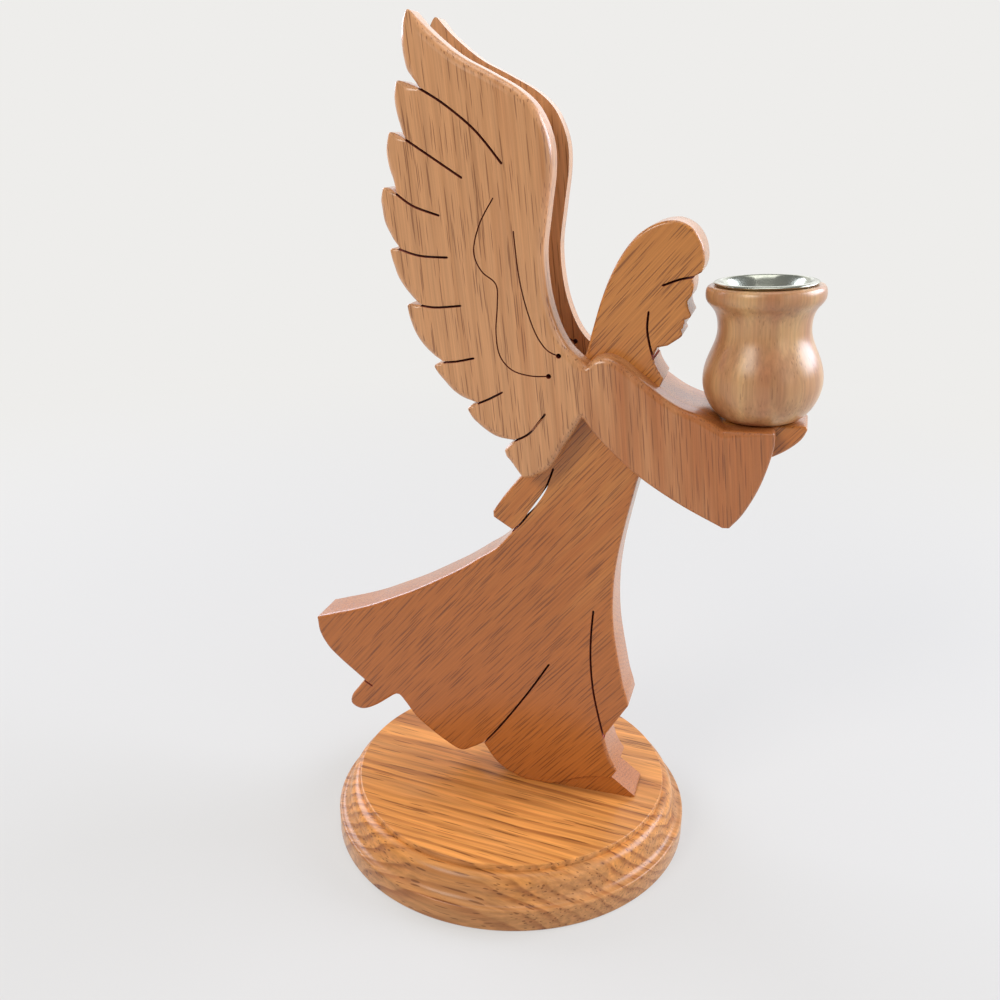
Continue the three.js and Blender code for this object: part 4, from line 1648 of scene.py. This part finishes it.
@dataclass(frozen=True)
class Softbox:
    """One rectangular softbox aimed at the middle of the holder, in metres and watts."""

    name: str
    place: Triple
    size: Point
    power: float
    tint: str = "#FFFFFF"

    def build(self, aim: Vector) -> None:
        """Hangs the softbox.

        Args:
            aim: The place that it faces.
        """
        data = bpy.data.lights.new(self.name, "AREA")
        data.shape = "RECTANGLE"
        data.size, data.size_y = self.size
        data.energy = self.power
        data.color = linear(self.tint)[:3]
        lamp = bpy.data.objects.new(self.name, data)
        lamp.location = self.place
        lamp.rotation_euler = (aim - Vector(self.place)).to_track_quat("-Z", "Y").to_euler()
        bpy.context.scene.collection.objects.link(lamp)


@dataclass
class Studio:
    """A pale sweep with softboxes round it, so that rounded edges catch a soft light."""

    pale: str = "#EEEDEB"
    shade: str = "#BFBDBA"
    dullness: float = 0.9
    glow: float = 0.6
    # Over these distances from the holder, in metres, the paper's own shading gives way to an even tone
    evening: Point = (0.25, 0.9)
    floor_reach: float = 4.0
    wall_distance: float = 3.2
    wall_height: float = 3.6
    bend_radius: float = 2.2
    bend_steps: int = 40
    ambient: float = 0.3
    ambient_tint: str = "#F4F5F7"
    lamps: tuple[Softbox, ...] = (
        Softbox("key", (-0.7, -1.3, 1.15), (0.7, 0.7), 15.0, "#FFF8F0"),
        Softbox("fill", (1.2, -0.9, 0.7), (0.8, 1.0), 3.0),
        Softbox("left_rim", (-1.15, 0.5, 0.75), (1.0, 0.7), 17.0, "#E6EDFF"),
        Softbox("right_rim", (1.15, 0.5, 0.75), (1.0, 0.7), 24.0, "#E6EDFF"),
        Softbox("top", (0.1, 0.0, 1.5), (0.8, 0.8), 4.0),
        Softbox("back", (0.3, 1.9, 1.0), (2.0, 0.8), 4.0, "#F4F6FF"),
    )

    def sweep(self) -> bpy.types.Object:
        """Builds the floor and its curve up into the wall behind.

        Returns:
            The sweep, without its paper.
        """
        bm = bmesh.new()
        middle = (self.wall_distance - self.bend_radius, self.bend_radius)
        bend = arc(middle, (self.bend_radius, self.bend_radius), -90, 0, self.bend_steps)
        side = [(-self.floor_reach, 0.0), *bend, (self.wall_distance, self.wall_height)]
        verts = [bm.verts.new((-self.floor_reach, y, z)) for y, z in side]
        edges = [bm.edges.new(pair) for pair in zip(verts, verts[1:])]
        grown = bmesh.ops.extrude_edge_only(bm, edges=edges)["geom"]
        moved = [g for g in grown if isinstance(g, bmesh.types.BMVert)]
        bmesh.ops.translate(bm, verts=moved, vec=(2 * self.floor_reach, 0, 0))
        bmesh.ops.recalc_face_normals(bm, faces=bm.faces[:])
        return mesh_object("paper_sweep", bm)

    def paper(self) -> bpy.types.Material:
        """Builds the matt paper, which shows itself pale to the camera and still takes the shadow.

        Returns:
            The paper's node material.
        """
        graph = Graph("matt_backdrop_paper")
        rays = add_node(graph.tree, "LightPath", {}).outputs
        mirrored = graph.math("MAXIMUM", rays["Is Glossy Ray"], rays["Is Transmission Ray"])
        distance = graph.vector("LENGTH", graph.place(), output="Value")
        even = graph.ramp(distance, self.evening, (self.glow, 1.0), Curve.SMOOTH)
        looked_at = graph.math("MULTIPLY", rays["Is Camera Ray"], even)
        share = graph.math("MAXIMUM", looked_at, mirrored)
        glow = graph.add("Emission", {"Color": linear(self.pale), "Strength": 1.0})
        lit = graph.shader.outputs[0]
        shown = graph.add("MixShader", {0: share, 1: lit, 2: glow})
        feed(graph.tree.nodes["Material Output"], {"Surface": shown})
        return graph.dressed(Base_Color=linear(self.shade), Roughness=self.dullness)

    def build(self) -> None:
        """Sets up the sweep, the lamps and the room's soft light."""
        sweep = self.sweep()
        sweep.data.materials.append(self.paper())
        sweep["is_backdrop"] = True
        low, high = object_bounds()
        for lamp in self.lamps:
            lamp.build((low + high) / 2)
        world = bpy.data.worlds.new("soft_room")
        bpy.context.scene.world = world
        world.use_nodes = True
        background = world.node_tree.nodes["Background"]
        feed(background, {"Color": linear(self.ambient_tint), "Strength": self.ambient})
        bpy.context.scene.view_settings.view_transform = "Standard"


def main() -> None:
    """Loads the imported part, builds each sub-assembly, then the studio."""
    logging.basicConfig(level=logging.INFO, format="%(name)s: %(message)s")
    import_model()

    SawnFigure().build()
    for side in Side:
        WingPanel(side).build()
    TurnedBase().build()
    CandleCup().build()
    TaperInsert().build()

    for name, x in BASE_SCREW_X.items():
        screw = WoodScrew(f"base_screw_{name}", length=37.5)
        screw.build(Matrix.Translation((x * MM, 0, BASE_SCREW_RECESS * MM)))
    floor = SEAT_GAP + CUP_HEIGHT - CUP_BORE_DEPTH
    WoodScrew("cup_screw", length=32.1).build(seat_frame(floor) @ Matrix.Rotation(math.pi, 4, "X"))

    ViewCamera().build()
    Studio().build()


if __name__ == "__main__":
    main()
